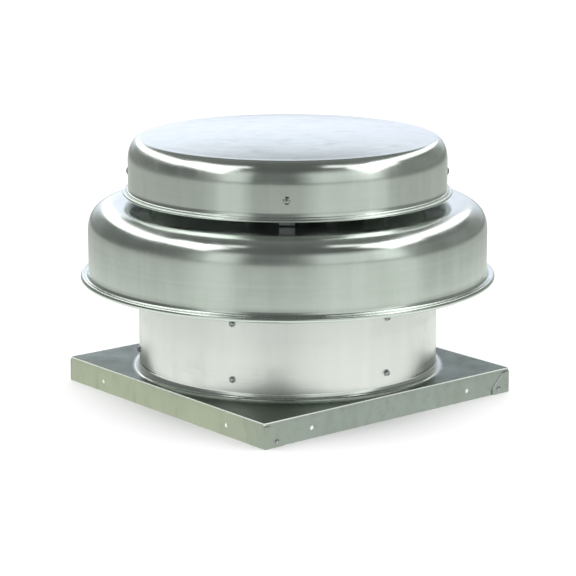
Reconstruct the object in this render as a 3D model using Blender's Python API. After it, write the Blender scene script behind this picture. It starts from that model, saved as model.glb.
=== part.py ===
"""Downblast centrifugal exhaust fan that stands on a square roof curb.

Metres, +Z up. The origin is the centre of the curb cap's lower edge, and the fan's shaft turns about +Z
through it. The sheet metal is spun or folded, and each piece is an object of its own.
"""

import math

import bmesh
import bpy
from mathutils import Matrix, Vector

MM = 0.001
GAP = 0.3 * MM  # clearance between pieces that touch
FACETS = 48  # round every spun sheet; a multiple of 8, so that the square curb cap keeps its corners
SMALL_FACETS = 8  # round screws, rivets, struts and rubber mounts
MOTOR_FACETS = 16

# Curb cap: a square pan turned upside down, with a collar drawn up in its middle.
SHEET = 1.6 * MM
CURB_SIDE = 559 * MM
FLANGE_HEIGHT = 44 * MM
EDGE_BEND = 2 * MM
COLLAR_FILLET = 13 * MM
COLLAR_LENGTH = 40 * MM  # straight part above the fillet
FLANGE_HOLE_RADIUS = 4 * MM
FLANGE_HOLE_INSET = 102 * MM  # from each corner
FLANGE_HOLE_HEIGHT = 18 * MM
TAB_WIDTH = 41 * MM
TAB_TIP_WIDTH = 15 * MM
TAB_STRAIGHT = 11 * MM
TAB_HEIGHT = 38 * MM
RIVET_INSET = 26 * MM
RIVET_HEIGHT = 9 * MM
RIVET_HEAD_RADIUS = 4.5 * MM
RIVET_SHANK_RADIUS = 2.2 * MM

# Throat cylinder, slipped over the collar.
THROAT_INSET = 14.5 * MM  # from the curb cap's side to the cylinder's outside
THROAT_LENGTH = 142.7 * MM
THROAT_SCREWS = 6
LOWER_SCREW_RISE = 21.5 * MM  # above the cylinder's lower edge
UPPER_SCREW_DROP = 24.5 * MM  # below its upper edge
SCREW_HEAD_RADIUS = 5.8 * MM
SCREW_HEAD_HEIGHT = 5 * MM
SCREW_SHANK_RADIUS = 2.4 * MM
SCREW_SHANK_LENGTH = 12 * MM

# Inlet venturi, a bell mouth inside the top of the cylinder.
VENTURI_DROP = 8 * MM  # its plate lies this far below the cylinder's upper edge
VENTURI_SKIRT = 30 * MM
EYE_RADIUS = 131 * MM
MOUTH_RADIUS = 32 * MM

# Shroud, the large spun hood.
DISCHARGE_GAP = 87.7 * MM  # from the cylinder's outside to the shroud's outside
SHROUD_LIFT = 9 * MM  # bead's middle above the cylinder's upper edge
SHROUD_DEPTH = 131 * MM  # bead's middle to the flat top
SHROUD_SHOULDER_REACH = 62 * MM
SHROUD_SHOULDER_DROP = 53.5 * MM
SHROUD_SHOULDER_POWER = 2.7
SHROUD_BEAD_RADIUS = 4.7 * MM
SHROUD_BEAD_REACH = 9.6 * MM  # bead's middle outside the wall
SHROUD_FLARE_HEIGHT = 10 * MM
SHROUD_OPENING = 80 * MM  # round the motor

# Motor cover, the smaller spun cap.
COVER_INSET = 71.7 * MM  # from the shroud's outside to the cover's outside
COVER_CLEARANCE = 15.3 * MM  # under its bead, for the motor's cooling air
COVER_WALL = 59 * MM
COVER_SHOULDER_REACH = 24.8 * MM
COVER_SHOULDER_DROP = 39.7 * MM
COVER_SHOULDER_POWER = 2.04
COVER_CROWN = 13 * MM
COVER_BEAD_RADIUS = 2.5 * MM
COVER_BEAD_REACH = 7.3 * MM
COVER_TURN = -39.7  # degrees; the first bracket's direction from +X
COVER_SCREW_RISE = 36 * MM  # above the bead's lowest point

# Cap brackets, bent straps between the shroud's top and the cover's wall.
BRACKETS = 4
BRACKET_WIDTH = 26 * MM
BRACKET_SHEET = 2 * MM
BRACKET_FOOT = 28 * MM
BRACKET_SETBACK = 34 * MM  # from the cover's wall in to the lower leg
BRACKET_STEP_RISE = 30 * MM
BRACKET_TOP_RISE = 66 * MM
COVER_SCREW_HEAD_RADIUS = 7 * MM

# Motor plate and the struts that carry it over the venturi.
MOTOR_PLATE_SHEET = 3 * MM
MOTOR_PLATE_OPENING = 30 * MM
STRUTS = 3
STRUT_RADIUS = 8 * MM
STRUT_CLEARANCE = 18 * MM  # from the wheel's rim to a strut's side

# Wheel.
WHEEL_CLEARANCE = 52 * MM  # from the wheel's rim to the cylinder's inside
WHEEL_SHEET = 2 * MM
EYE_CLEARANCE = 3.5 * MM
RING_LAP = 8 * MM  # how far the venturi's mouth stands inside the wheel's ring
RING_RISE = 26 * MM
BACK_PLATE_DROP = 20 * MM  # below the motor plate
BLADES = 8
BLADE_SHEET = 2.5 * MM
BLADE_START = 20 * MM  # outside the ring's eye
BLADE_SWEEP = 32  # degrees
HUB_RADIUS = 22 * MM
HUB_FLANGE_RADIUS = 42 * MM
HUB_FLANGE_SHEET = 4 * MM
HUB_DROP = 16 * MM  # below the back plate
HUB_RISE = 12 * MM  # above it
SET_SCREW_RADIUS = 3 * MM

# Motor.
SHAFT_RADIUS = 8 * MM
MOTOR_RADIUS = 70 * MM
MOTOR_WALL = 4 * MM
BELL_OVERLAP = 2 * MM
BELL_SHEET = 5 * MM
BELL_BOSS_RADIUS = 25 * MM
BEARING_RADIUS = 20 * MM
BEARING_WIDTH = 10 * MM
BELL_BORE_RADIUS = 12 * MM
MOTOR_HEADROOM = 10 * MM
STATOR_INNER_RADIUS = 43 * MM
ROTOR_CORE_RADIUS = 40 * MM
CORE_MARGIN = 12 * MM  # from the bell's face to the stator
ISOLATORS = 3
ISOLATOR_RADIUS = 11 * MM
ISOLATOR_WAIST = 8 * MM
ISOLATOR_HEIGHT = 14 * MM
ISOLATOR_CIRCLE = 55 * MM

# Disconnect switch on the shroud's top and its conduit to the motor.
SWITCH_ANGLE = 96
SWITCH_SETBACK = 74 * MM  # from the cover's wall in to the box's open side
SWITCH_DEPTH = 55 * MM
SWITCH_WIDTH = 80 * MM
SWITCH_HEIGHT = 64 * MM
SWITCH_SHEET = 2 * MM
TOGGLE_SLOT_WIDTH = 10 * MM
TOGGLE_SLOT_HEIGHT = 24 * MM
TOGGLE_BARREL_RADIUS = 4 * MM
TOGGLE_BARREL_WIDTH = 12 * MM
TOGGLE_PIN_RADIUS = 2 * MM
TOGGLE_SETBACK = 8 * MM  # pivot behind the cover
TOGGLE_REACH = 25 * MM
TOGGLE_THICKNESS = 7 * MM
TOGGLE_TILT = 14  # degrees up from level, in the on position
EAR_SHEET = 3 * MM
CONDUIT_RADIUS = 6 * MM
CONDUIT_ARCH = 16 * MM

# Places worked out from the sizes above.
HALF_SIDE = CURB_SIDE / 2
THROAT_RADIUS = HALF_SIDE - THROAT_INSET
NESTED_RADIUS = THROAT_RADIUS - SHEET - GAP  # of what slips inside the cylinder
THROAT_BOTTOM = FLANGE_HEIGHT + COLLAR_FILLET + GAP
THROAT_TOP = THROAT_BOTTOM + THROAT_LENGTH
LOWER_SCREW_Z = THROAT_BOTTOM + LOWER_SCREW_RISE
UPPER_SCREW_Z = THROAT_TOP - UPPER_SCREW_DROP
VENTURI_TOP = THROAT_TOP - VENTURI_DROP
MOUTH_TOP = VENTURI_TOP + MOUTH_RADIUS
SHROUD_RADIUS = THROAT_RADIUS + DISCHARGE_GAP
SHROUD_BEAD_Z = THROAT_TOP + SHROUD_LIFT
SHROUD_TOP = SHROUD_BEAD_Z + SHROUD_DEPTH
COVER_RADIUS = SHROUD_RADIUS - COVER_INSET
COVER_BOTTOM = SHROUD_TOP + COVER_CLEARANCE
COVER_BEAD_Z = COVER_BOTTOM + COVER_BEAD_RADIUS
COVER_SHOULDER_Z = COVER_BOTTOM + COVER_WALL
COVER_FLAT_Z = COVER_SHOULDER_Z + COVER_SHOULDER_DROP
COVER_SCREW_Z = COVER_BOTTOM + COVER_SCREW_RISE
FLAT_FACET = math.cos(math.pi / FACETS)  # a facet's middle over its corners' radius
MOTOR_PLATE_Z = SHROUD_TOP - SHEET - GAP - MOTOR_PLATE_SHEET  # its underside
WHEEL_RADIUS = THROAT_RADIUS - SHEET - WHEEL_CLEARANCE
STRUT_CIRCLE = WHEEL_RADIUS + STRUT_CLEARANCE + STRUT_RADIUS
MOTOR_PLATE_RADIUS = STRUT_CIRCLE + 2 * STRUT_RADIUS
BACK_PLATE_Z = MOTOR_PLATE_Z - BACK_PLATE_DROP  # its underside
RING_EYE = EYE_RADIUS + EYE_CLEARANCE
RING_BOTTOM = MOUTH_TOP - RING_LAP
HUB_BOTTOM = BACK_PLATE_Z - HUB_DROP
MOTOR_BOTTOM = MOTOR_PLATE_Z + MOTOR_PLATE_SHEET + GAP + ISOLATOR_HEIGHT + GAP
MOTOR_TOP = COVER_FLAT_Z - SHEET - MOTOR_HEADROOM
SHELL_BOTTOM = MOTOR_BOTTOM + BELL_SHEET + GAP
SHELL_TOP = MOTOR_TOP - BELL_SHEET - GAP


def finish(name, colour, roughness, metallic=0.0):
    """A Principled material."""
    material = bpy.data.materials.new(name)
    material.use_nodes = True
    shader = material.node_tree.nodes["Principled BSDF"]
    shader.inputs["Base Color"].default_value = (*colour, 1.0)
    shader.inputs["Roughness"].default_value = roughness
    shader.inputs["Metallic"].default_value = metallic
    return material


def add_object(name, mesh, material):
    """Link a mesh as an object, smooth where it is round and sharp at its folds."""
    for polygon in mesh.polygons:
        polygon.use_smooth = True
    mesh.set_sharp_from_angle(angle=math.radians(35))
    if not mesh.materials:
        mesh.materials.append(material)
    item = bpy.data.objects.new(name, mesh)
    bpy.context.scene.collection.objects.link(item)
    return item


def mesh_from(name, shape):
    """Turn a finished bmesh into mesh data with its faces pointing out."""
    bmesh.ops.remove_doubles(shape, verts=shape.verts, dist=0.001 * MM)
    bmesh.ops.recalc_face_normals(shape, faces=shape.faces)
    mesh = bpy.data.meshes.new(name)
    shape.to_mesh(mesh)
    shape.free()
    return mesh


def arc(centre_r, centre_z, radius, start, end, steps):
    """Points of a circular arc from start to end degrees, both included."""
    angles = [math.radians(start + (end - start) * step / steps) for step in range(steps + 1)]
    return [(centre_r + radius * math.cos(a), centre_z + radius * math.sin(a)) for a in angles]


def shoulder(flat_radius, wall_z, reach, drop, power, steps):
    """A superellipse quarter from the flat top down to the wall, both ends included."""
    angles = [math.pi / 2 * (1 - step / steps) for step in range(steps + 1)]
    return [
        (flat_radius + reach * math.cos(a) ** (2 / power), wall_z + drop * math.sin(a) ** (2 / power))
        for a in angles
    ]


def sheet(face, thickness):
    """A closed section: face, an open line down the outer side, and its mitred copy one thickness inside."""
    points = [Vector(point) for point in face]
    steps = [(after - before).normalized() for before, after in zip(points, points[1:])]
    inner = []
    for index, point in enumerate(points):
        before = steps[max(index - 1, 0)]
        after = steps[min(index, len(steps) - 1)]
        right = Vector((before.y + after.y, -before.x - after.x)).normalized()
        depth = thickness / right.dot(Vector((after.y, -after.x)))
        moved = point + right * depth
        inner.append((0.0 if point.x == 0 else moved.x, moved.y))
    return list(face) + inner[::-1]


def turned_mesh(name, section, facets, turn=0.0):
    """Spin a closed (radius, height) section round +Z."""
    shape = bmesh.new()
    start = Matrix.Rotation(math.radians(turn), 3, "Z")
    corners = [shape.verts.new(start @ Vector((radius, 0, height))) for radius, height in section]
    edges = []
    for first, second in zip(corners, corners[1:] + corners[:1]):
        if first.co.xy.length > 0 or second.co.xy.length > 0:
            edges.append(shape.edges.new((first, second)))
    bmesh.ops.spin(
        shape,
        geom=corners + edges,
        cent=(0, 0, 0),
        axis=(0, 0, 1),
        angle=math.tau,
        steps=facets,
        use_merge=True,
    )
    return mesh_from(name, shape)


def turned(name, section, material, facets=FACETS, turn=0.0):
    """A spun piece as an object on the fan's axis."""
    return add_object(name, turned_mesh(name, section, facets, turn), material)


def around(radius, angle, height):
    """The point at this radius and angle in degrees about the fan's axis."""
    return Vector((radius * math.cos(math.radians(angle)), radius * math.sin(math.radians(angle)), height))


def aim(direction):
    """The rotation that turns +Z to direction."""
    return Vector(direction).to_track_quat("Z", "Y")


def drills(name, holes, facets=SMALL_FACETS):
    """One hidden cutter holding a straight pin for each (middle, direction, radius, length)."""
    shape = bmesh.new()
    for middle, direction, radius, length in holes:
        place = Matrix.Translation(middle) @ aim(direction).to_matrix().to_4x4()
        bmesh.ops.create_cone(
            shape, cap_ends=True, segments=facets, radius1=radius, radius2=radius, depth=length, matrix=place
        )
    return hidden(name, mesh_from(name, shape))


def hidden(name, mesh):
    """A helper for a Boolean, which isn't a piece."""
    item = bpy.data.objects.new(name, mesh)
    bpy.context.scene.collection.objects.link(item)
    item.hide_render = True
    item.display_type = "WIRE"
    return item


def combine(host, helper, operation):
    """Apply a helper to its host with a Boolean modifier."""
    modifier = host.modifiers.new(helper.name, "BOOLEAN")
    modifier.object = helper
    modifier.operation = operation
    modifier.solver = "EXACT"


def add_box(shape, low, high):
    """A box between two corners in a bmesh."""
    low, high = Vector(low), Vector(high)
    place = Matrix.Translation((low + high) / 2) @ Matrix.Diagonal((*(high - low), 1.0))
    bmesh.ops.create_cube(shape, size=1.0, matrix=place)


def add_prism(shape, outline, offset):
    """A solid with this outline of points, swept by offset."""
    near = [shape.verts.new(point) for point in outline]
    far = [shape.verts.new(Vector(point) + Vector(offset)) for point in outline]
    shape.faces.new(near)
    shape.faces.new(far[::-1])
    for index in range(len(outline)):
        following = (index + 1) % len(outline)
        shape.faces.new((near[index], far[index], far[following], near[following]))


def fastener_mesh(name, head, shank_radius, shank_length):
    """A screw or rivet along +Z: a turned head above z = 0 and a plain shank below it."""
    section = [(0.0, head[0][1])] + head + [(head[-1][0], 0.0), (shank_radius, 0.0)]
    section += [(shank_radius, -shank_length), (0.0, -shank_length)]
    return turned_mesh(name, section, SMALL_FACETS)


def fasten(name, mesh, place, direction, material):
    """A fastener whose head rests at place and whose shank runs against direction."""
    item = add_object(name, mesh, material)
    item.location = place
    item.rotation_mode = "QUATERNION"
    item.rotation_quaternion = aim(direction)
    return item


def curb_cap(material):
    """Square plate with a drawn collar, four turned-down flanges, lapped corner tabs and their holes."""
    middle_r = NESTED_RADIUS + COLLAR_FILLET
    middle_z = FLANGE_HEIGHT + COLLAR_FILLET
    collar_top = middle_z + COLLAR_LENGTH
    collar = [(NESTED_RADIUS, collar_top)] + arc(middle_r, middle_z, COLLAR_FILLET, 180, 270, 3)
    underside = arc(middle_r, middle_z, COLLAR_FILLET + SHEET, 270, 180, 3)
    underside += [(NESTED_RADIUS - SHEET, collar_top)]
    skirt = [
        (HALF_SIDE - EDGE_BEND, FLANGE_HEIGHT),
        (HALF_SIDE, FLANGE_HEIGHT - EDGE_BEND),
        (HALF_SIDE, 0.0),
        (HALF_SIDE - SHEET, 0.0),
        (HALF_SIDE - SHEET, FLANGE_HEIGHT - SHEET),
    ]
    rows = [(reach, height, False) for reach, height in collar]
    rows += [(reach, height, True) for reach, height in skirt]
    rows += [(reach, height, False) for reach, height in underside]
    shape = bmesh.new()
    rings = []
    for reach, height, square in rows:
        ring = []
        for facet in range(FACETS):
            direction = around(1.0, 360 * facet / FACETS, 0.0)
            stretch = reach / max(abs(direction.x), abs(direction.y)) if square else reach
            ring.append(shape.verts.new((direction.x * stretch, direction.y * stretch, height)))
        rings.append(ring)
    for ring, following in zip(rings, rings[1:] + rings[:1]):
        for facet in range(FACETS):
            beside = (facet + 1) % FACETS
            shape.faces.new((ring[facet], following[facet], following[beside], ring[beside]))
    cap = add_object("curb_cap", mesh_from("curb_cap", shape), material)
    combine(cap, corner_tabs(), "UNION")
    combine(cap, drills("curb_cap_drills", curb_cap_holes()), "DIFFERENCE")
    return cap


def corner_tabs():
    """The four tabs that wrap round the corners on to the flanges at +X and -X."""
    shape = bmesh.new()
    lap = HALF_SIDE + GAP
    for side in (-1, 1):
        for end in (-1, 1):
            rings = []
            for width, height in ((TAB_WIDTH, 0.0), (TAB_WIDTH, TAB_STRAIGHT), (TAB_TIP_WIDTH, TAB_HEIGHT)):
                corners = (
                    (HALF_SIDE - SHEET / 2, HALF_SIDE),
                    (lap + SHEET, HALF_SIDE),
                    (lap + SHEET, HALF_SIDE - width),
                    (lap, HALF_SIDE - width),
                    (lap, HALF_SIDE - SHEET),
                    (HALF_SIDE - SHEET / 2, HALF_SIDE - SHEET),
                )
                rings.append([shape.verts.new((side * x, end * y, height)) for x, y in corners])
            shape.faces.new(rings[0])
            shape.faces.new(rings[-1])
            for ring, following in zip(rings, rings[1:]):
                for index in range(len(ring)):
                    beside = (index + 1) % len(ring)
                    shape.faces.new((ring[index], following[index], following[beside], ring[beside]))
    return hidden("corner_tabs", mesh_from("corner_tabs", shape))


def curb_cap_holes():
    """Flange holes, rivet holes and the collar's screw holes."""
    holes = []
    along = HALF_SIDE - FLANGE_HOLE_INSET
    beside = HALF_SIDE - RIVET_INSET
    for side in (-1, 1):
        for end in (-1, 1):
            face = side * (HALF_SIDE - SHEET / 2)
            through = 4 * SHEET
            x_place = Vector((face, end * along, FLANGE_HOLE_HEIGHT))
            y_place = Vector((end * along, face, FLANGE_HOLE_HEIGHT))
            holes.append((x_place, (1, 0, 0), FLANGE_HOLE_RADIUS, through))
            holes.append((y_place, (0, 1, 0), FLANGE_HOLE_RADIUS, through))
            lap = side * (HALF_SIDE + GAP / 2)
            holes.append((Vector((lap, end * beside, RIVET_HEIGHT)), (1, 0, 0), RIVET_SHANK_RADIUS + GAP, through))
    return holes + throat_holes(LOWER_SCREW_Z)


def throat_holes(height):
    """A ring of screw holes through the cylinder and what is nested in it."""
    length = 6 * SHEET
    turns = [360 * index / THROAT_SCREWS for index in range(THROAT_SCREWS)]
    return [
        (around(NESTED_RADIUS, turn, height), around(1.0, turn, 0.0), SCREW_SHANK_RADIUS + GAP, length)
        for turn in turns
    ]


def throat_cylinder(material):
    """The cylinder that stands on the curb cap's collar."""
    wall = sheet([(THROAT_RADIUS, THROAT_TOP), (THROAT_RADIUS, THROAT_BOTTOM)], SHEET)
    cylinder = turned("throat_cylinder", wall, material)
    holes = throat_holes(LOWER_SCREW_Z) + throat_holes(UPPER_SCREW_Z)
    combine(cylinder, drills("throat_drills", holes), "DIFFERENCE")
    return cylinder


def throat_screws(material):
    """Hexagon washer-head screws in two rings."""
    washer = 1.2 * MM
    hexagon = 0.7 * SCREW_HEAD_RADIUS
    head = [(hexagon, SCREW_HEAD_HEIGHT), (hexagon, washer), (SCREW_HEAD_RADIUS, washer)]
    mesh = fastener_mesh("throat_screw", head, SCREW_SHANK_RADIUS, SCREW_SHANK_LENGTH)
    for row, height in (("lower", LOWER_SCREW_Z), ("upper", UPPER_SCREW_Z)):
        for index in range(THROAT_SCREWS):
            turn = 360 * index / THROAT_SCREWS
            place = around(THROAT_RADIUS + GAP, turn, height)
            fasten(f"throat_screw_{row}_{index + 1}", mesh, place, around(1.0, turn, 0.0), material)


def corner_rivets(material):
    """Domed rivets through the corner tabs."""
    head = arc(0, 0, RIVET_HEAD_RADIUS, 65, 0, 2)
    head = [(radius, height * 0.55) for radius, height in head]
    mesh = fastener_mesh("corner_rivet", head[:-1] + [(RIVET_HEAD_RADIUS, 0.3 * MM)], RIVET_SHANK_RADIUS, 6 * MM)
    places = [(side, end) for side in (-1, 1) for end in (-1, 1)]
    for index, (side, end) in enumerate(places):
        x = side * (HALF_SIDE + SHEET + 2 * GAP)
        place = Vector((x, end * (HALF_SIDE - RIVET_INSET), RIVET_HEIGHT))
        fasten(f"corner_rivet_{index + 1}", mesh, place, (side, 0, 0), material)


def inlet_venturi(material):
    """Plate in the cylinder's top, with a skirt for the screws and a bell mouth up into the wheel."""
    skirt_bottom = VENTURI_TOP - VENTURI_SKIRT
    bend = 4 * MM
    mouth = arc(EYE_RADIUS + MOUTH_RADIUS, VENTURI_TOP + MOUTH_RADIUS, MOUTH_RADIUS, 180, 270, 3)
    rim = arc(NESTED_RADIUS - bend, VENTURI_TOP - bend, bend, 90, 0, 1)
    section = sheet(mouth + rim + [(NESTED_RADIUS, skirt_bottom)], SHEET)
    venturi = turned("inlet_venturi", section, material)
    combine(venturi, drills("venturi_drills", throat_holes(UPPER_SCREW_Z)), "DIFFERENCE")
    return venturi


def shroud(material):
    """The hood that turns the air downwards, with a flared edge rolled into a bead."""
    flat = SHROUD_RADIUS - SHROUD_SHOULDER_REACH
    wall_z = SHROUD_TOP - SHROUD_SHOULDER_DROP
    bead_r = SHROUD_RADIUS + SHROUD_BEAD_REACH
    face = [(SHROUD_OPENING, SHROUD_TOP)]
    face += shoulder(flat, wall_z, SHROUD_SHOULDER_REACH, SHROUD_SHOULDER_DROP, SHROUD_SHOULDER_POWER, 5)
    face += [(SHROUD_RADIUS, SHROUD_BEAD_Z + SHROUD_FLARE_HEIGHT)]
    face += arc(bead_r, SHROUD_BEAD_Z, SHROUD_BEAD_RADIUS, 130, -110, 4)
    return turned("shroud", sheet(face, SHEET), material)


def motor_cover(material):
    """The cap over the motor: crowned top, round shoulder, straight wall and a small rolled bead."""
    flat = COVER_RADIUS - COVER_SHOULDER_REACH
    face = [
        (flat * step / 2, COVER_FLAT_Z + COVER_CROWN * (1 - (step / 2) ** 2))
        for step in range(2)
    ]
    face += shoulder(flat, COVER_SHOULDER_Z, COVER_SHOULDER_REACH, COVER_SHOULDER_DROP, COVER_SHOULDER_POWER, 4)
    trough = COVER_BEAD_REACH - COVER_BEAD_RADIUS
    face += [(COVER_RADIUS, COVER_BEAD_Z + trough)]
    face += arc(COVER_RADIUS + COVER_BEAD_REACH, COVER_BEAD_Z, COVER_BEAD_RADIUS, 150, -90, 4)
    half_facet = 180 / FACETS
    cover = turned("motor_cover", sheet(face, SHEET), material, turn=COVER_TURN + half_facet)
    holes = []
    for turn in bracket_turns():
        place = around(COVER_RADIUS, turn, COVER_SCREW_Z)
        holes.append((place, around(1.0, turn, 0.0), SCREW_SHANK_RADIUS + GAP, 6 * SHEET))
    combine(cover, drills("cover_drills", holes), "DIFFERENCE")
    return cover


def bracket_turns():
    """The brackets' directions in degrees."""
    return [COVER_TURN + 360 * index / BRACKETS for index in range(BRACKETS)]


def cap_brackets(material):
    """Stepped straps: a foot on the shroud, a lower leg, a shelf, and an upper leg against the cover's wall."""
    foot_z = SHROUD_TOP + GAP
    wall = (COVER_RADIUS - SHEET) * FLAT_FACET - GAP
    leg = wall - BRACKET_SETBACK
    bend = 3 * MM
    outline = [(leg - BRACKET_FOOT, foot_z + BRACKET_SHEET), (leg - BRACKET_FOOT, foot_z)]
    outline += arc(leg - bend, foot_z + bend, bend, 270, 360, 3)
    outline += [
        (leg, foot_z + BRACKET_STEP_RISE - BRACKET_SHEET),
        (wall, foot_z + BRACKET_STEP_RISE - BRACKET_SHEET),
        (wall, foot_z + BRACKET_TOP_RISE),
        (wall - BRACKET_SHEET, foot_z + BRACKET_TOP_RISE),
        (wall - BRACKET_SHEET, foot_z + BRACKET_STEP_RISE),
        (leg - BRACKET_SHEET, foot_z + BRACKET_STEP_RISE),
        (leg - BRACKET_SHEET, foot_z + BRACKET_SHEET),
    ]
    shape = bmesh.new()
    points = [(x, -BRACKET_WIDTH / 2, z) for x, z in outline]
    add_prism(shape, points, (0, BRACKET_WIDTH, 0))
    mesh = mesh_from("cap_bracket", shape)
    hole = (Vector((wall, 0, COVER_SCREW_Z)), (1, 0, 0), SCREW_SHANK_RADIUS + GAP, 6 * SHEET)
    for index, turn in enumerate(bracket_turns()):
        bracket = add_object(f"cap_bracket_{index + 1}", mesh, material)
        bracket.rotation_euler.z = math.radians(turn)
        drill = drills(f"cap_bracket_drill_{index + 1}", [hole])
        drill.rotation_euler.z = math.radians(turn)
        combine(bracket, drill, "DIFFERENCE")


def cap_screws(material):
    """Pan-head screws through the cover's wall into the brackets."""
    crown = 3.6 * MM
    head = [(COVER_SCREW_HEAD_RADIUS * 0.55, crown), (COVER_SCREW_HEAD_RADIUS, 0.35 * crown)]
    mesh = fastener_mesh("cap_screw", head, SCREW_SHANK_RADIUS, SCREW_SHANK_LENGTH)
    for index, turn in enumerate(bracket_turns()):
        place = around(COVER_RADIUS * FLAT_FACET + GAP, turn, COVER_SCREW_Z)
        fasten(f"cap_screw_{index + 1}", mesh, place, around(1.0, turn, 0.0), material)


def motor_plate(material):
    """The stiff disc under the shroud's top that carries the motor."""
    top = MOTOR_PLATE_Z + MOTOR_PLATE_SHEET
    face = [(MOTOR_PLATE_OPENING, top), (MOTOR_PLATE_RADIUS, top)]
    return turned("motor_plate", sheet(face, MOTOR_PLATE_SHEET), material)


def shroud_struts(material):
    """Posts from the venturi's plate up to the motor plate."""
    low = VENTURI_TOP + GAP
    high = MOTOR_PLATE_Z - GAP
    section = [(0.0, high), (STRUT_RADIUS, high), (STRUT_RADIUS, low), (0.0, low)]
    mesh = turned_mesh("shroud_strut", section, SMALL_FACETS)
    for index in range(STRUTS):
        strut = add_object(f"shroud_strut_{index + 1}", mesh, material)
        strut.location = around(STRUT_CIRCLE, 30 + 360 * index / STRUTS, 0.0)


def ring_face():
    """The wheel ring's upper side, from its lip out to the rim."""
    throat_bend = 14 * MM
    bend_z = RING_BOTTOM + RING_LAP + GAP
    bend = arc(RING_EYE + throat_bend, bend_z, throat_bend, 180, 110, 2)
    return [(RING_EYE, RING_BOTTOM)] + bend + [(WHEEL_RADIUS, RING_BOTTOM + RING_RISE + WHEEL_SHEET)]


def wheel_inlet_ring(material):
    """Ring round the wheel's eye; its lip laps the venturi's mouth."""
    return turned("wheel_inlet_ring", sheet(ring_face(), WHEEL_SHEET), material)


def wheel_back_plate(material):
    """Disc that carries the blades, fixed to the hub."""
    top = BACK_PLATE_Z + WHEEL_SHEET
    face = [(HUB_RADIUS + GAP, top), (WHEEL_RADIUS, top)]
    return turned("wheel_back_plate", sheet(face, WHEEL_SHEET), material)


def wheel_blades(material):
    """Backward-inclined flat blades between the ring and the back plate."""
    bend_end, rim = ring_face()[-2:]
    slope = (rim[1] - bend_end[1]) / (rim[0] - bend_end[0])
    start = RING_EYE + BLADE_START
    inner = around(start, BLADE_SWEEP, 0.0)
    outer = around(WHEEL_RADIUS - BLADE_SHEET, 0.0, 0.0)
    sideways = Vector((outer.y - inner.y, inner.x - outer.x, 0.0)).normalized() * BLADE_SHEET
    low_start = bend_end[1] + slope * (start - bend_end[0]) + 2 * GAP
    low_end = rim[1] + GAP
    high = BACK_PLATE_Z - GAP
    outline = [
        (inner.x, inner.y, low_start),
        (outer.x, outer.y, low_end),
        (outer.x, outer.y, high),
        (inner.x, inner.y, high),
    ]
    shape = bmesh.new()
    add_prism(shape, outline, sideways)
    mesh = mesh_from("wheel_blade", shape)
    for index in range(BLADES):
        blade = add_object(f"wheel_blade_{index + 1}", mesh, material)
        blade.rotation_euler.z = math.tau * index / BLADES


def wheel_hub(material):
    """Boss on the motor's shaft, with a flange over the back plate and a set screw's hole."""
    bore = SHAFT_RADIUS + GAP
    flange_low = BACK_PLATE_Z + WHEEL_SHEET + GAP
    flange_high = flange_low + HUB_FLANGE_SHEET
    top = BACK_PLATE_Z + HUB_RISE
    section = [
        (bore, top),
        (HUB_RADIUS, top),
        (HUB_RADIUS, flange_high),
        (HUB_FLANGE_RADIUS, flange_high),
        (HUB_FLANGE_RADIUS, flange_low),
        (HUB_RADIUS, flange_low),
        (HUB_RADIUS, HUB_BOTTOM),
        (bore, HUB_BOTTOM),
    ]
    hub = turned("wheel_hub", section, material, MOTOR_FACETS)
    middle = (HUB_RADIUS + bore) / 2
    hole = (Vector((middle, 0, set_screw_z())), (1, 0, 0), SET_SCREW_RADIUS + GAP, HUB_RADIUS)
    combine(hub, drills("hub_drill", [hole]), "DIFFERENCE")
    return hub


def set_screw_z():
    """Height of the set screw, halfway down the hub's lower boss."""
    return BACK_PLATE_Z - HUB_DROP / 2


def hub_set_screw(material):
    """Headless screw that clamps the hub to the shaft."""
    length = HUB_RADIUS - SHAFT_RADIUS - 2 * GAP
    section = [(0.0, length), (SET_SCREW_RADIUS, length), (SET_SCREW_RADIUS, 0.0), (0.0, 0.0)]
    mesh = turned_mesh("hub_set_screw", section, SMALL_FACETS)
    return fasten("hub_set_screw", mesh, (SHAFT_RADIUS + GAP, 0, set_screw_z()), (1, 0, 0), material)


def motor_shaft(material):
    """Shaft from the hub up through both bearings."""
    high = SHELL_TOP - 2 * GAP
    section = [(0.0, high), (SHAFT_RADIUS, high), (SHAFT_RADIUS, HUB_BOTTOM), (0.0, HUB_BOTTOM)]
    return turned("motor_shaft", section, material, MOTOR_FACETS)


def end_bell(name, outer_z, inward, bore, material):
    """An end bell with a bearing seat. inward is +1 where the motor lies above outer_z and -1 where it is below."""
    seat = BEARING_RADIUS + GAP
    face_z = outer_z + inward * BELL_SHEET
    boss_z = face_z + inward * (BEARING_WIDTH + GAP)
    radius = MOTOR_RADIUS + BELL_OVERLAP
    section = [(bore, outer_z), (radius, outer_z), (radius, face_z), (BELL_BOSS_RADIUS, face_z)]
    section += [(BELL_BOSS_RADIUS, boss_z), (seat, boss_z), (seat, face_z), (bore, face_z)]
    return turned(name, section, material, MOTOR_FACETS)


def bearing(name, low, material):
    """A closed ball bearing."""
    high = low + BEARING_WIDTH
    bore = SHAFT_RADIUS + GAP
    section = [(bore, high), (BEARING_RADIUS, high), (BEARING_RADIUS, low), (bore, low)]
    return turned(name, section, material, MOTOR_FACETS)


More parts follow.
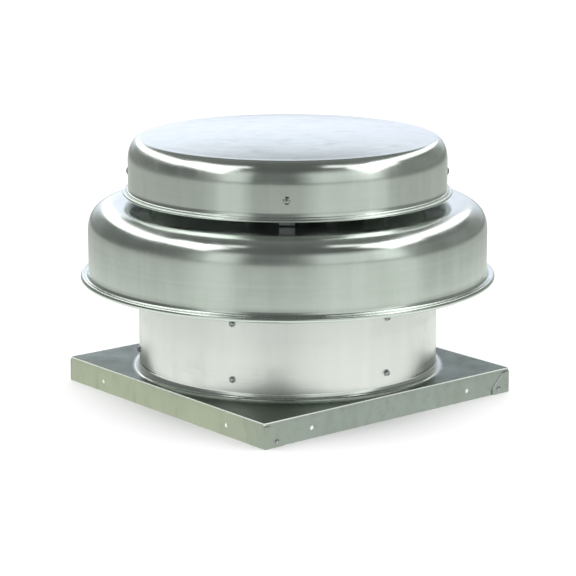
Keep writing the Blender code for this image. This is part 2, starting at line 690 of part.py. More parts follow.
def motor(shell, core, steel):
    """Shell, end bells, bearings, stator and rotor core."""
    wall = sheet([(MOTOR_RADIUS, SHELL_TOP), (MOTOR_RADIUS, SHELL_BOTTOM)], MOTOR_WALL)
    turned("motor_shell", wall, shell, MOTOR_FACETS)
    end_bell("motor_bottom_bell", MOTOR_BOTTOM, 1, BELL_BORE_RADIUS, shell)
    end_bell("motor_top_bell", MOTOR_TOP, -1, 0.0, shell)
    bearing("bearing_lower", SHELL_BOTTOM, steel)
    bearing("bearing_upper", SHELL_TOP - BEARING_WIDTH, steel)
    margin = BELL_SHEET + CORE_MARGIN
    low, high = MOTOR_BOTTOM + margin, MOTOR_TOP - margin
    outer = MOTOR_RADIUS - MOTOR_WALL - GAP
    chamfer = 8 * MM
    stator = [
        (STATOR_INNER_RADIUS, high),
        (outer - chamfer, high),
        (outer, high - chamfer),
        (outer, low + chamfer),
        (outer - chamfer, low),
        (STATOR_INNER_RADIUS, low),
    ]
    turned("stator_core", stator, core, MOTOR_FACETS)
    bore = SHAFT_RADIUS + GAP
    rotor = [(bore, high), (ROTOR_CORE_RADIUS, high), (ROTOR_CORE_RADIUS, low), (bore, low)]
    turned("rotor_core", rotor, core, MOTOR_FACETS)


def motor_isolators(material):
    """Waisted rubber mounts between the motor plate and the motor."""
    low = MOTOR_PLATE_Z + MOTOR_PLATE_SHEET + GAP
    high = low + ISOLATOR_HEIGHT
    middle = (low + high) / 2
    rim = 3 * MM
    section = [
        (0.0, high),
        (ISOLATOR_RADIUS, high),
        (ISOLATOR_RADIUS, high - rim),
        (ISOLATOR_WAIST, middle),
        (ISOLATOR_RADIUS, low + rim),
        (ISOLATOR_RADIUS, low),
        (0.0, low),
    ]
    mesh = turned_mesh("motor_isolator", section, SMALL_FACETS)
    for index in range(ISOLATORS):
        mount = add_object(f"motor_isolator_{index + 1}", mesh, material)
        mount.location = around(ISOLATOR_CIRCLE, 90 + 360 * index / ISOLATORS, 0.0)


def switch_frame():
    """An empty at the middle of the switch box's open side, +X outwards, on the shroud's top."""
    frame = bpy.data.objects.new("switch_frame", None)
    bpy.context.scene.collection.objects.link(frame)
    frame.location = around(COVER_RADIUS - SWITCH_SETBACK, SWITCH_ANGLE, SHROUD_TOP + GAP)
    frame.rotation_euler.z = math.radians(SWITCH_ANGLE)
    return frame


def disconnect_box(frame, material):
    """Sheet box open on its outer side."""
    shape = bmesh.new()
    half = SWITCH_WIDTH / 2
    add_box(shape, (-SWITCH_DEPTH, -half, 0), (0, half, SWITCH_HEIGHT))
    box = add_object("disconnect_box", mesh_from("disconnect_box", shape), material)
    box.parent = frame
    hollow = bmesh.new()
    inner = half - SWITCH_SHEET
    low = (SWITCH_SHEET - SWITCH_DEPTH, -inner, SWITCH_SHEET)
    add_box(hollow, low, (SWITCH_SHEET, inner, SWITCH_HEIGHT - SWITCH_SHEET))
    cutter = hidden("disconnect_box_hollow", mesh_from("disconnect_box_hollow", hollow))
    cutter.parent = frame
    combine(box, cutter, "DIFFERENCE")


def disconnect_cover(frame, material):
    """Cover plate with a slot for the toggle and two ears behind it that hold the toggle's pin."""
    half = SWITCH_WIDTH / 2
    pivot_z = SWITCH_HEIGHT / 2
    ear_low = TOGGLE_BARREL_WIDTH / 2 + GAP
    ear_end = -TOGGLE_SETBACK - TOGGLE_BARREL_RADIUS
    slot = TOGGLE_SLOT_HEIGHT / 2
    shape = bmesh.new()
    add_box(shape, (GAP, -half, 0), (GAP + SWITCH_SHEET, half, SWITCH_HEIGHT))
    cover = add_object("disconnect_cover", mesh_from("disconnect_cover", shape), material)
    cover.parent = frame
    ears = bmesh.new()
    for side in (-1, 1):
        near, far = sorted((side * ear_low, side * (ear_low + EAR_SHEET)))
        low_corner = (ear_end, near, pivot_z - TOGGLE_BARREL_RADIUS)
        add_box(ears, low_corner, (GAP + SWITCH_SHEET / 2, far, pivot_z + TOGGLE_BARREL_RADIUS))
    helper = hidden("disconnect_ears", mesh_from("disconnect_ears", ears))
    helper.parent = frame
    combine(cover, helper, "UNION")
    opening = bmesh.new()
    width = TOGGLE_SLOT_WIDTH / 2
    add_box(opening, (-GAP, -width, pivot_z - slot), (2 * SWITCH_SHEET, width, pivot_z + slot))
    cutter = hidden("disconnect_slot", mesh_from("disconnect_slot", opening))
    cutter.parent = frame
    combine(cover, cutter, "DIFFERENCE")
    pin_hole = (Vector((-TOGGLE_SETBACK, 0, pivot_z)), (0, 1, 0), TOGGLE_PIN_RADIUS + GAP, 4 * TOGGLE_BARREL_WIDTH)
    drill = drills("disconnect_pin_drill", [pin_hole])
    drill.parent = frame
    combine(cover, drill, "DIFFERENCE")


def disconnect_toggle(frame, material):
    """Lever whose barrel and pin turn about its own Y axis, behind the cover."""
    ear_far = TOGGLE_BARREL_WIDTH / 2 + GAP + EAR_SHEET
    half_barrel = TOGGLE_BARREL_WIDTH / 2
    barrel = [
        (0.0, ear_far),
        (TOGGLE_PIN_RADIUS, ear_far),
        (TOGGLE_PIN_RADIUS, half_barrel),
        (TOGGLE_BARREL_RADIUS, half_barrel),
        (TOGGLE_BARREL_RADIUS, -half_barrel),
        (TOGGLE_PIN_RADIUS, -half_barrel),
        (TOGGLE_PIN_RADIUS, -ear_far),
        (0.0, -ear_far),
    ]
    mesh = turned_mesh("disconnect_toggle", barrel, SMALL_FACETS)
    mesh.transform(Matrix.Rotation(math.pi / 2, 4, "X"))
    toggle = add_object("disconnect_toggle", mesh, material)
    toggle.parent = frame
    toggle.location = (-TOGGLE_SETBACK, 0, SWITCH_HEIGHT / 2)
    toggle.rotation_euler.y = -math.radians(TOGGLE_TILT)
    lever = bmesh.new()
    half_width = TOGGLE_SLOT_WIDTH / 2 - 2 * GAP
    half_thickness = TOGGLE_THICKNESS / 2
    add_box(lever, (0, -half_width, -half_thickness), (TOGGLE_REACH, half_width, half_thickness))
    helper = hidden("disconnect_lever", mesh_from("disconnect_lever", lever))
    helper.parent = toggle
    combine(toggle, helper, "UNION")


def motor_conduit(frame, material):
    """Flexible conduit from the switch box to the motor's shell, arched between its ends."""
    start = -SWITCH_DEPTH - GAP
    end = -(COVER_RADIUS - SWITCH_SETBACK) + MOTOR_RADIUS + GAP
    height = SWITCH_HEIGHT * 0.7
    steps = 12
    straight = 0.1  # share of the length that leaves each end squarely
    curve = bpy.data.curves.new("motor_conduit", "CURVE")
    curve.dimensions = "3D"
    curve.bevel_depth = CONDUIT_RADIUS
    curve.bevel_resolution = 2
    curve.use_fill_caps = True
    line = curve.splines.new("POLY")
    line.points.add(steps)
    for index, point in enumerate(line.points):
        share = index / steps
        along = min(max((share - straight) / (1 - 2 * straight), 0.0), 1.0)
        rise = CONDUIT_ARCH * math.sin(math.pi * along) ** 2
        point.co = (start + (end - start) * share, 0.0, height + rise, 1.0)
    curve.materials.append(material)
    conduit = bpy.data.objects.new("motor_conduit", curve)
    bpy.context.scene.collection.objects.link(conduit)
    conduit.parent = frame


def main():
    """Clear the scene and build the fan, outside first."""
    for item in list(bpy.data.objects):
        bpy.data.objects.remove(item, do_unlink=True)
    aluminium = finish("spun_aluminium", (0.78, 0.79, 0.78), 0.28, 1.0)
    folded = finish("folded_aluminium", (0.74, 0.75, 0.74), 0.34, 1.0)
    zinc = finish("zinc_plated_steel", (0.62, 0.63, 0.64), 0.35, 1.0)
    galvanised = finish("galvanised_steel", (0.58, 0.6, 0.61), 0.45, 1.0)
    paint = finish("motor_paint", (0.09, 0.1, 0.11), 0.5)
    core = finish("core_steel", (0.32, 0.31, 0.3), 0.5, 1.0)
    steel = finish("bright_steel", (0.7, 0.7, 0.7), 0.2, 1.0)
    rubber = finish("rubber", (0.03, 0.03, 0.03), 0.8)
    plastic = finish("switch_plastic", (0.5, 0.06, 0.04), 0.45)

    curb_cap(folded)
    corner_rivets(zinc)
    throat_cylinder(aluminium)
    throat_screws(zinc)
    inlet_venturi(aluminium)
    shroud(aluminium)
    motor_cover(aluminium)
    cap_brackets(galvanised)
    cap_screws(zinc)
    motor_plate(galvanised)
    shroud_struts(galvanised)
    wheel_inlet_ring(aluminium)
    wheel_back_plate(aluminium)
    wheel_blades(aluminium)
    wheel_hub(core)
    hub_set_screw(zinc)
    motor_shaft(steel)
    motor(paint, core, steel)
    motor_isolators(rubber)
    frame = switch_frame()
    disconnect_box(frame, galvanised)
    disconnect_cover(frame, galvanised)
    disconnect_toggle(frame, plastic)
    motor_conduit(frame, galvanised)


main()
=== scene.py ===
"""Looks of a roof exhaust fan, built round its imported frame: spun hood and cap over a folded curb cap.

Every size is in metres and +Z is up. The fan's axis is the Z axis, so most pieces are turned round it.
"""

import logging
import math
from collections.abc import Iterable, Sequence
from dataclasses import dataclass
from enum import Enum
from functools import cached_property

import bmesh
import bpy
from mathutils import Matrix, Quaternion, Vector


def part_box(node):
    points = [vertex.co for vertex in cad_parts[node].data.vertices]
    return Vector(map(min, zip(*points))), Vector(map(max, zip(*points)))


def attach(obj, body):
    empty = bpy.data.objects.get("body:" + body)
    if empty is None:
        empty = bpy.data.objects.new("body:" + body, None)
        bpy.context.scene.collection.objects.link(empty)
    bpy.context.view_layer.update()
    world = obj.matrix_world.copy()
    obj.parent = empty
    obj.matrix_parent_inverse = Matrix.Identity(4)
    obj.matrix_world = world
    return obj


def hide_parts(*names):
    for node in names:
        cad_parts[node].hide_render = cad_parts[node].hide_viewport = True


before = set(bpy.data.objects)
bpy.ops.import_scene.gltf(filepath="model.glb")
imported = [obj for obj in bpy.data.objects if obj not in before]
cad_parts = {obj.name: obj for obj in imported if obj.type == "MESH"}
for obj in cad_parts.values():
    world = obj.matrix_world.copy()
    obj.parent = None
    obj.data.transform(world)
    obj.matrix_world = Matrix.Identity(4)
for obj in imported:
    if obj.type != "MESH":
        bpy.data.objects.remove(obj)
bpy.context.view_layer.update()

log = logging.getLogger("exhaust_fan")

MM = 0.001
SHEET = 1.6 * MM
GAP = 0.3 * MM
CAP_WALL = 281 * MM  # the motor cap's radius at its wall
CAP_TURN = -39.7  # degrees from +X to the first cap screw and its strap
ROUND = 288  # facets round a large turned piece; a multiple of 8
SMALL_ROUND = 32  # facets round a screw or a rivet

Point = tuple[float, float]
Colour = tuple[float, float, float]
Spot = tuple[float, float, float]  # right, forward and up from the camera's side
Section = list[Point]
Socket = bpy.types.NodeSocket
Value = float | Sequence[float] | Socket


class Grain(Enum):
    """The direction that the fine lines in a metal run."""

    TURNED = "round the fan's axis"
    LEVEL = "level, along a folded sheet"
    UPRIGHT = "up and down"


class Slot(Enum):
    """The record's material slots."""

    SPUN = "spun_aluminium"
    FOLDED = "folded_aluminium"
    ZINC = "zinc_plated_steel"
    GALVANISED = "galvanised_steel"
    PAINT = "motor_paint"
    CORE = "core_steel"
    BRIGHT = "bright_steel"
    RUBBER = "rubber"
    PLASTIC = "switch_plastic"


class Body(Enum):
    """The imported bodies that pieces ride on."""

    HOUSING = "housing"
    ROTOR = "rotor"
    TOGGLE = "toggle"


# Node graphs


class Graph:
    """A shader's node tree, with short ways to add nodes and join them."""

    def __init__(self, tree: bpy.types.NodeTree) -> None:
        """Works on a node tree.

        Args:
            tree: the tree to add to.
        """
        self.tree = tree

    def feed(self, socket: Socket, value: Value) -> None:
        """Gives a socket a fixed value or a link.

        Args:
            socket: the input to set.
            value: a number, a colour, a vector or another node's output.
        """
        if isinstance(value, Socket):
            self.tree.links.new(value, socket)
        elif socket.type == "RGBA" and len(value) == 3:
            socket.default_value = (*value, 1.0)
        else:
            socket.default_value = value

    def add(self, kind: str, inputs: dict[int | str, Value], **settings: object) -> bpy.types.Node:
        """Adds a shader node.

        Args:
            kind: the node's type name without its ShaderNode prefix.
            inputs: values or links by the input's name or place.
            **settings: the node's own properties.

        Returns:
            The new node.
        """
        node = self.tree.nodes.new("ShaderNode" + kind)
        for key, setting in settings.items():
            setattr(node, key, setting)
        for key, value in inputs.items():
            self.feed(node.inputs[key], value)
        return node

    def maths(self, operation: str, first: Value, second: Value = 0.0) -> Socket:
        """One step of arithmetic.

        Args:
            operation: the Math node's operation.
            first: the first value.
            second: the second value, where the operation has one.

        Returns:
            The result's socket.
        """
        return self.add("Math", {0: first, 1: second}, operation=operation).outputs[0]

    def weigh(self, first: Value, first_weight: float, second: Value, second_weight: float) -> Socket:
        """The sum of two values, each times its weight."""
        first_part = self.maths("MULTIPLY", first, first_weight)
        return self.maths("ADD", first_part, self.maths("MULTIPLY", second, second_weight))

    def spread(self, value: Value, low: float, high: float, start: float, end: float) -> Socket:
        """Maps a range of values smoothly on to another.

        Args:
            value: the value to map.
            low: where the range starts.
            high: where it ends.
            start: the result at low.
            end: the result at high.

        Returns:
            The result's socket.
        """
        inputs = {"Value": value, "From Min": low, "From Max": high, "To Min": start, "To Max": end}
        return self.add("MapRange", inputs, interpolation_type="SMOOTHSTEP").outputs[0]

    def tint(self, share: Value, first: Value, second: Value) -> Socket:
        """Mixes two colours.

        Args:
            share: 0 for the first colour, 1 for the second.
            first: the first colour, three numbers or a link.
            second: the second colour.

        Returns:
            The mixed colour's socket.
        """
        node = self.add("Mix", {"Factor": share}, data_type="RGBA")
        self.feed(node.inputs[6], first)
        self.feed(node.inputs[7], second)
        return node.outputs[2]

    def cloud(self, place: Value, scale: float, detail: float = 3.0, rough: float = 0.5) -> Socket:
        """Soft noise.

        Args:
            place: the coordinates.
            scale: features for each metre.
            detail: how many finer layers.
            rough: how strong the finer layers are.

        Returns:
            The noise's socket, 0 to 1.
        """
        inputs = {"Vector": place, "Scale": scale, "Detail": detail, "Roughness": rough}
        return self.add("TexNoise", inputs).outputs["Fac"]

    def bump(self, height: Value, depth: float, under: Socket | None = None) -> Socket:
        """Relief from a height.

        Args:
            height: the height, 0 to 1.
            depth: what a height of 1 stands for, in metres.
            under: another relief's normal that this one lies on.

        Returns:
            The normal's socket.
        """
        inputs: dict[int | str, Value] = {"Height": height, "Distance": depth, "Strength": 1.0}
        if under is not None:
            inputs["Normal"] = under
        return self.add("Bump", inputs).outputs["Normal"]

    def coordinates(self) -> Socket:
        """The piece's own coordinates, which are the frame's."""
        return self.add("TexCoord", {}).outputs["Object"]

    def reach(self, split: Sequence[Socket]) -> Socket:
        """How far a point lies from the middle lines of a square about the axis.

        Args:
            split: the coordinates' X, Y and Z.

        Returns:
            The distance's socket.
        """
        return self.maths("MAXIMUM", self.maths("ABSOLUTE", split[0]), self.maths("ABSOLUTE", split[1]))

    def grain(self, direction: Grain, pitch: float, drift: float) -> Socket:
        """Noise drawn out into fine lines.

        Args:
            direction: the way that the lines run.
            pitch: the lines' spacing in metres.
            drift: how many times a line changes over a metre, or over a turn.

        Returns:
            The noise's socket, 0 to 1.
        """
        split = self.add("SeparateXYZ", {0: self.coordinates()}).outputs
        if direction is Grain.TURNED:
            flat = self.add("CombineXYZ", {0: split[0], 1: split[1]}).outputs[0]
            radius = self.add("VectorMath", {0: flat}, operation="LENGTH").outputs["Value"]
            heading = self.add("VectorMath", {0: flat}, operation="NORMALIZE").outputs["Vector"]
            turn = self.add("SeparateXYZ", {0: heading}).outputs
            across = [self.maths("DIVIDE", radius, pitch), self.maths("DIVIDE", split[2], pitch)]
            along = [self.maths("MULTIPLY", turn[0], drift), self.maths("MULTIPLY", turn[1], drift)]
            place = self.add("CombineXYZ", {0: across[0], 1: across[1], 2: along[0]}).outputs[0]
            inputs = {"Vector": place, "W": along[1], "Scale": 1.0, "Detail": 3.0, "Roughness": 0.6}
            return self.add("TexNoise", inputs, noise_dimensions="4D").outputs["Fac"]
        fine, slow = 1 / pitch, drift
        scales = (slow, slow, fine) if direction is Grain.LEVEL else (fine, fine, slow)
        stretched = self.add("VectorMath", {0: self.coordinates(), 1: scales}, operation="MULTIPLY")
        return self.cloud(stretched.outputs[0], 1.0, 3.0, 0.6)


class MaterialGraph(Graph):
    """The graph of a new material that holds one Principled shader."""

    def __init__(self, name: str) -> None:
        """Starts the material.

        Args:
            name: the material's name.
        """
        self.material = bpy.data.materials.new(name)
        self.material.use_nodes = True
        super().__init__(self.material.node_tree)
        self.shader = self.tree.nodes["Principled BSDF"]

    def dress(self, colour: Value, rough: Value, normal: Value, metallic: Value = 1.0) -> bpy.types.Material:
        """Feeds the shader's main sockets.

        Args:
            colour: the base colour.
            rough: the roughness.
            normal: the relief's normal.
            metallic: how metallic the surface is.

        Returns:
            The finished material.
        """
        self.feed(self.shader.inputs["Base Color"], colour)
        self.feed(self.shader.inputs["Roughness"], rough)
        self.feed(self.shader.inputs["Normal"], normal)
        self.feed(self.shader.inputs["Metallic"], metallic)
        return self.material


# Finishes


@dataclass(frozen=True)
class LinedMetal:
    """Bare metal with fine lines, faint clouds of haze and long low waves."""

    name: str
    slot: Slot
    colour: Colour
    shade: Colour
    roughness: float
    haze: float
    grain: Grain
    pitch: float
    line_depth: float
    wave_depth: float
    anisotropy: float = 0.0

    def build(self) -> bpy.types.Material:
        """Makes the material.

        Returns:
            The finished material.
        """
        graph = MaterialGraph(self.name)
        place = graph.coordinates()
        fine = graph.grain(self.grain, self.pitch, 2.0)
        broad = graph.grain(self.grain, 7 * self.pitch, 1.2)
        cloud = graph.cloud(place, 9.0, 4.0, 0.55)
        smudge = graph.spread(graph.cloud(place, 22.0, 5.0, 0.65), 0.52, 0.72, 0.0, 1.0)
        lines = graph.weigh(fine, 0.45, broad, 0.55)
        streaks = graph.grain(Grain.UPRIGHT, 28 * MM, 2.5)
        mist = graph.weigh(streaks, 0.45, cloud, 0.55)
        share = graph.weigh(lines, 0.3, mist, 0.7)
        colour = graph.tint(graph.spread(share, 0.36, 0.64, 0.0, 1.0), self.shade, self.colour)
        uneven = graph.spread(lines, 0.3, 0.7, -0.5, 0.5)
        rough = graph.maths("ADD", uneven, graph.spread(cloud, 0.3, 0.7, -0.4, 0.4))
        rough = graph.maths("ADD", rough, graph.maths("MULTIPLY", smudge, 0.8))
        rough = graph.maths("ADD", graph.maths("MULTIPLY", rough, self.haze), self.roughness)
        waves = graph.bump(graph.cloud(place, 5.5, 1.0, 0.4), self.wave_depth)
        if self.anisotropy:
            graph.shader.inputs["Anisotropic"].default_value = self.anisotropy
            graph.shader.inputs["Anisotropic Rotation"].default_value = 0.25
            tangent = graph.add("Tangent", {}, direction_type="RADIAL", axis="Z")
            graph.feed(graph.shader.inputs["Tangent"], tangent.outputs[0])
        return graph.dress(colour, rough, graph.bump(lines, self.line_depth, waves))


@dataclass(frozen=True)
class FoldedSheet:
    """Mill-finish sheet: polished collar and stained flanges, with painted light: a top darkened by painted
    shade, the -Y flange painted lighter than the +X flange, and a painted highlight along the bend between
    them.
    """

    name: str
    slot: Slot
    # The first colour is painted light on the -Y flange, and cool is painted shade on the +X flange: one side
    # lighter than the other
    painted_lit_flange: Colour
    cool: Colour
    stain: Colour
    # top: painted shade that darkens the upward faces past the collar
    top: Colour = (0.15, 0.195, 0.15)
    drawn: Colour = (0.78, 0.82, 0.785)
    # Painted highlight colour laid along the bend between the top and the flanges
    rubbed_and_highlight: Colour = (0.9, 0.93, 0.9)
    collar_edge: float = 280 * MM
    bend_start: float = 277 * MM  # the bend's inner edge, from the pan's middle lines

    def build(self) -> bpy.types.Material:
        """Makes the material.

        Returns:
            The finished material.
        """
        graph = MaterialGraph(self.name)
        place = graph.coordinates()
        split = graph.add("SeparateXYZ", {0: place}).outputs
        flat = graph.add("CombineXYZ", {0: split[0], 1: split[1]}).outputs[0]
        radius = graph.add("VectorMath", {0: flat}, operation="LENGTH").outputs["Value"]
        upward = graph.add("SeparateXYZ", {0: graph.add("NewGeometry", {}).outputs["Normal"]}).outputs[2]
        cloud = graph.cloud(place, 14.0, 4.0, 0.55)
        # Painted light and shade by side: the -Y flange takes the lighter tone and the +X flange the darker
        # cool tone
        side = graph.maths("ADD", graph.maths("ADD", split[0], split[1]), graph.maths("MULTIPLY", cloud, 0.1))
        colour = graph.tint(graph.spread(side, -0.1, 0.16, 0.0, 1.0), self.painted_lit_flange, self.cool)
        stained = self.stains(graph, place, side)
        colour = graph.tint(stained, colour, self.stain)
        # Painted shade: upward faces past the collar are darkened to the top colour
        past_collar = graph.spread(radius, self.collar_edge - 10 * MM, self.collar_edge, 0.0, 1.0)
        top = graph.maths("MULTIPLY", graph.spread(upward, 0.8, 0.98, 0.0, 1.0), past_collar)
        colour = graph.tint(top, colour, self.top)
        polished = graph.spread(radius, self.collar_edge - 12 * MM, self.collar_edge, 1.0, 0.0)
        colour = graph.tint(polished, colour, self.drawn)
        # Painted highlight: the bend turns near-white and loses its metal, so it glows in the even light
        bend = self.bend(graph, split, upward)
        colour = graph.tint(bend, colour, self.rubbed_and_highlight)
        clean = graph.spread(cloud, 0.3, 0.7, 0.26, 0.36)
        rough = graph.maths("ADD", clean, graph.maths("MULTIPLY", stained, 0.1))
        rough = graph.maths("SUBTRACT", rough, graph.maths("MULTIPLY", polished, 0.16))
        waves = graph.bump(graph.cloud(place, 7.0, 1.0, 0.4), 0.7 * MM)
        scores = graph.grain(Grain.LEVEL, 1.6 * MM, 2.0)
        nicks = graph.maths("ADD", scores, graph.maths("MULTIPLY", stained, 2.0))
        relief = graph.bump(nicks, 0.012 * MM, waves)
        # Less metal along the bend, as part of its painted highlight
        return graph.dress(colour, rough, relief, graph.maths("SUBTRACT", 1.0, bend))

    def stains(self, graph: MaterialGraph, place: Value, side: Value) -> Socket:
        """Upright blotches everywhere, and small worn patches towards the +X and +Y flanges.

        Args:
            graph: the material's graph.
            place: the coordinates.
            side: how far towards +X and +Y a point lies, in metres.

        Returns:
            The stains' socket, 0 to 1.
        """
        drawn_out = graph.add("VectorMath", {0: place, 1: (34.0, 34.0, 12.0)}, operation="MULTIPLY")
        blotch = graph.spread(graph.cloud(drawn_out.outputs[0], 1.0, 4.0, 0.65), 0.45, 0.72, 0.0, 0.5)
        worn = graph.spread(graph.cloud(place, 60.0, 5.0, 0.75), 0.5, 0.66, 0.0, 0.7)
        worn = graph.maths("MULTIPLY", worn, graph.spread(side, 0.0, 0.2, 0.2, 1.0))
        return graph.maths("MAXIMUM", blotch, worn)

    def bend(self, graph: MaterialGraph, split: Sequence[Socket], upward: Value) -> Socket:
        """The bend between the top and the flanges, where the painted highlight lies.

        Args:
            graph: the material's graph.
            split: the coordinates' X, Y and Z.
            upward: the normal's Z.

        Returns:
            The bend's socket, 0 to 0.75.
        """
        tilted = graph.maths(
            "MULTIPLY", graph.spread(upward, 0.1, 0.3, 0.0, 1.0), graph.spread(upward, 0.75, 0.95, 1.0, 0.0)
        )
        rim = graph.spread(graph.reach(split), self.bend_start, self.bend_start + 0.7 * MM, 0.0, 0.75)
        return graph.maths("MULTIPLY", tilted, rim)


@dataclass(frozen=True)
class PlatedSteel:
    """Zinc plate on steel, a little dulled: fine pits and a faint colour cast that wanders."""

    name: str
    slot: Slot
    colour: Colour
    cast: Colour
    roughness: float

    def build(self) -> bpy.types.Material:
        """Makes the material.

        Returns:
            The finished material.
        """
        graph = MaterialGraph(self.name)
        place = graph.coordinates()
        patch = graph.cloud(place, 260.0, 3.0, 0.6)
        pits = graph.cloud(place, 1500.0, 2.0, 0.5)
        worn = graph.spread(graph.add("NewGeometry", {}).outputs["Pointiness"], 0.5, 0.56, 0.0, 1.0)
        colour = graph.tint(graph.spread(patch, 0.35, 0.65, 0.0, 1.0), self.colour, self.cast)
        rough = graph.maths("ADD", graph.spread(patch, 0.3, 0.7, -0.07, 0.09), self.roughness)
        rough = graph.maths("SUBTRACT", rough, graph.maths("MULTIPLY", worn, 0.08))
        return graph.dress(colour, rough, graph.bump(pits, 0.02 * MM))


@dataclass(frozen=True)
class Galvanised:
    """Hot-dipped zinc with its crystal spangle."""

    name: str
    slot: Slot
    light: Colour
    dark: Colour
    spangle: float

    def build(self) -> bpy.types.Material:
        """Makes the material.

        Returns:
            The finished material.
        """
        graph = MaterialGraph(self.name)
        place = graph.coordinates()
        inputs = {"Vector": place, "Scale": 1 / self.spangle, "Randomness": 1.0}
        cells = graph.add("TexVoronoi", inputs, feature="F1")
        shine = graph.add("SeparateColor", {0: cells.outputs["Color"]}).outputs
        dust = graph.cloud(place, 70.0, 5.0, 0.6)
        share = graph.weigh(shine[0], 0.7, dust, 0.3)
        colour = graph.tint(share, self.dark, self.light)
        rough = graph.weigh(shine[1], 0.22, dust, 0.3)
        relief = graph.bump(dust, 0.05 * MM, graph.bump(shine[2], 0.02 * MM))
        return graph.dress(colour, graph.maths("ADD", rough, 0.18), relief)


@dataclass(frozen=True)
class Coating:
    """Paint, rubber or moulded plastic, with a fine texture and rubbed edges."""

    name: str
    slot: Slot
    colour: Colour
    rubbed_and_highlight: Colour
    roughness: float
    texture: float
    relief: float

    def build(self) -> bpy.types.Material:
        """Makes the material.

        Returns:
            The finished material.
        """
        graph = MaterialGraph(self.name)
        place = graph.coordinates()
        skin = graph.cloud(place, 1 / self.texture, 3.0, 0.55)
        dust = graph.cloud(place, 30.0, 5.0, 0.6)
        edge = graph.add("NewGeometry", {}).outputs["Pointiness"]
        worn = graph.maths("MULTIPLY", graph.spread(edge, 0.51, 0.58, 0.0, 1.0), dust)
        share = graph.maths("ADD", worn, graph.spread(dust, 0.5, 0.8, 0.0, 0.18))
        colour = graph.tint(share, self.colour, self.rubbed_and_highlight)
        rough = graph.maths("ADD", graph.spread(dust, 0.3, 0.7, -0.08, 0.1), self.roughness)
        return graph.dress(colour, rough, graph.bump(skin, self.relief), 0.0)


@dataclass(frozen=True)
class Laminations:
    """Stacked core plates: level lines with a little scale between them."""

    name: str
    slot: Slot
    light: Colour
    dark: Colour
    plate: float

    def build(self) -> bpy.types.Material:
        """Makes the material.

        Returns:
            The finished material.
        """
        graph = MaterialGraph(self.name)
        place = graph.coordinates()
        inputs = {"Vector": place, "Scale": 0.314 / self.plate, "Distortion": 0.4, "Detail": 2.0}
        plates = graph.add("TexWave", inputs, bands_direction="Z").outputs["Fac"]
        scale = graph.cloud(place, 90.0, 5.0, 0.6)
        share = graph.maths("MULTIPLY", plates, graph.spread(scale, 0.3, 0.7, 0.5, 1.0))
        colour = graph.tint(share, self.dark, self.light)
        return graph.dress(colour, graph.spread(scale, 0.3, 0.7, 0.35, 0.6), graph.bump(plates, 0.08 * MM))


Finish = LinedMetal | FoldedSheet | PlatedSteel | Galvanised | Coating | Laminations


@dataclass(frozen=True)
class Palette:
    """Every finish on the fan."""

    spun: Finish = LinedMetal(
        "spun_aluminium_finish", Slot.SPUN, (0.78, 0.83, 0.785), (0.685, 0.745, 0.69),
        0.19, 0.07, Grain.TURNED, 1.1 * MM, 0.006 * MM, 0.5 * MM, 0.2,
    )
    rolled: Finish = LinedMetal(
        "rolled_aluminium_finish", Slot.SPUN, (0.895, 0.9, 0.885), (0.82, 0.835, 0.81),
        0.36, 0.1, Grain.LEVEL, 2.5 * MM, 0.002 * MM, 0.5 * MM,
    )
    folded: Finish = FoldedSheet(
        "folded_aluminium_finish", Slot.FOLDED, (0.44, 0.475, 0.36), (0.345, 0.385, 0.36), (0.3, 0.325, 0.27),
    )
    zinc: Finish = PlatedSteel("zinc_plate_finish", Slot.ZINC, (0.44, 0.45, 0.44), (0.36, 0.37, 0.38), 0.2)
    galvanised: Finish = Galvanised(
        "galvanised_finish", Slot.GALVANISED, (0.70, 0.72, 0.72), (0.50, 0.53, 0.54), 9 * MM,
    )
    paint: Finish = Coating(
        "motor_paint_finish", Slot.PAINT, (0.06, 0.067, 0.075), (0.2, 0.21, 0.22), 0.42, 0.8 * MM, 0.03 * MM,
    )
    core: Finish = Laminations(
        "core_steel_finish", Slot.CORE, (0.42, 0.41, 0.4), (0.16, 0.15, 0.14), 1.2 * MM,
    )
    bright: Finish = LinedMetal(
        "ground_steel_finish", Slot.BRIGHT, (0.72, 0.72, 0.71), (0.6, 0.6, 0.6),
        0.16, 0.05, Grain.TURNED, 0.5 * MM, 0.004 * MM, 0.05 * MM,
    )
    rubber: Finish = Coating(
        "rubber_finish", Slot.RUBBER, (0.022, 0.022, 0.023), (0.07, 0.07, 0.068), 0.72, 0.5 * MM, 0.05 * MM,
    )
    plastic: Finish = Coating(
        "switch_plastic_finish", Slot.PLASTIC, (0.48, 0.05, 0.035), (0.56, 0.1, 0.08),
        0.36, 0.6 * MM, 0.02 * MM,
    )


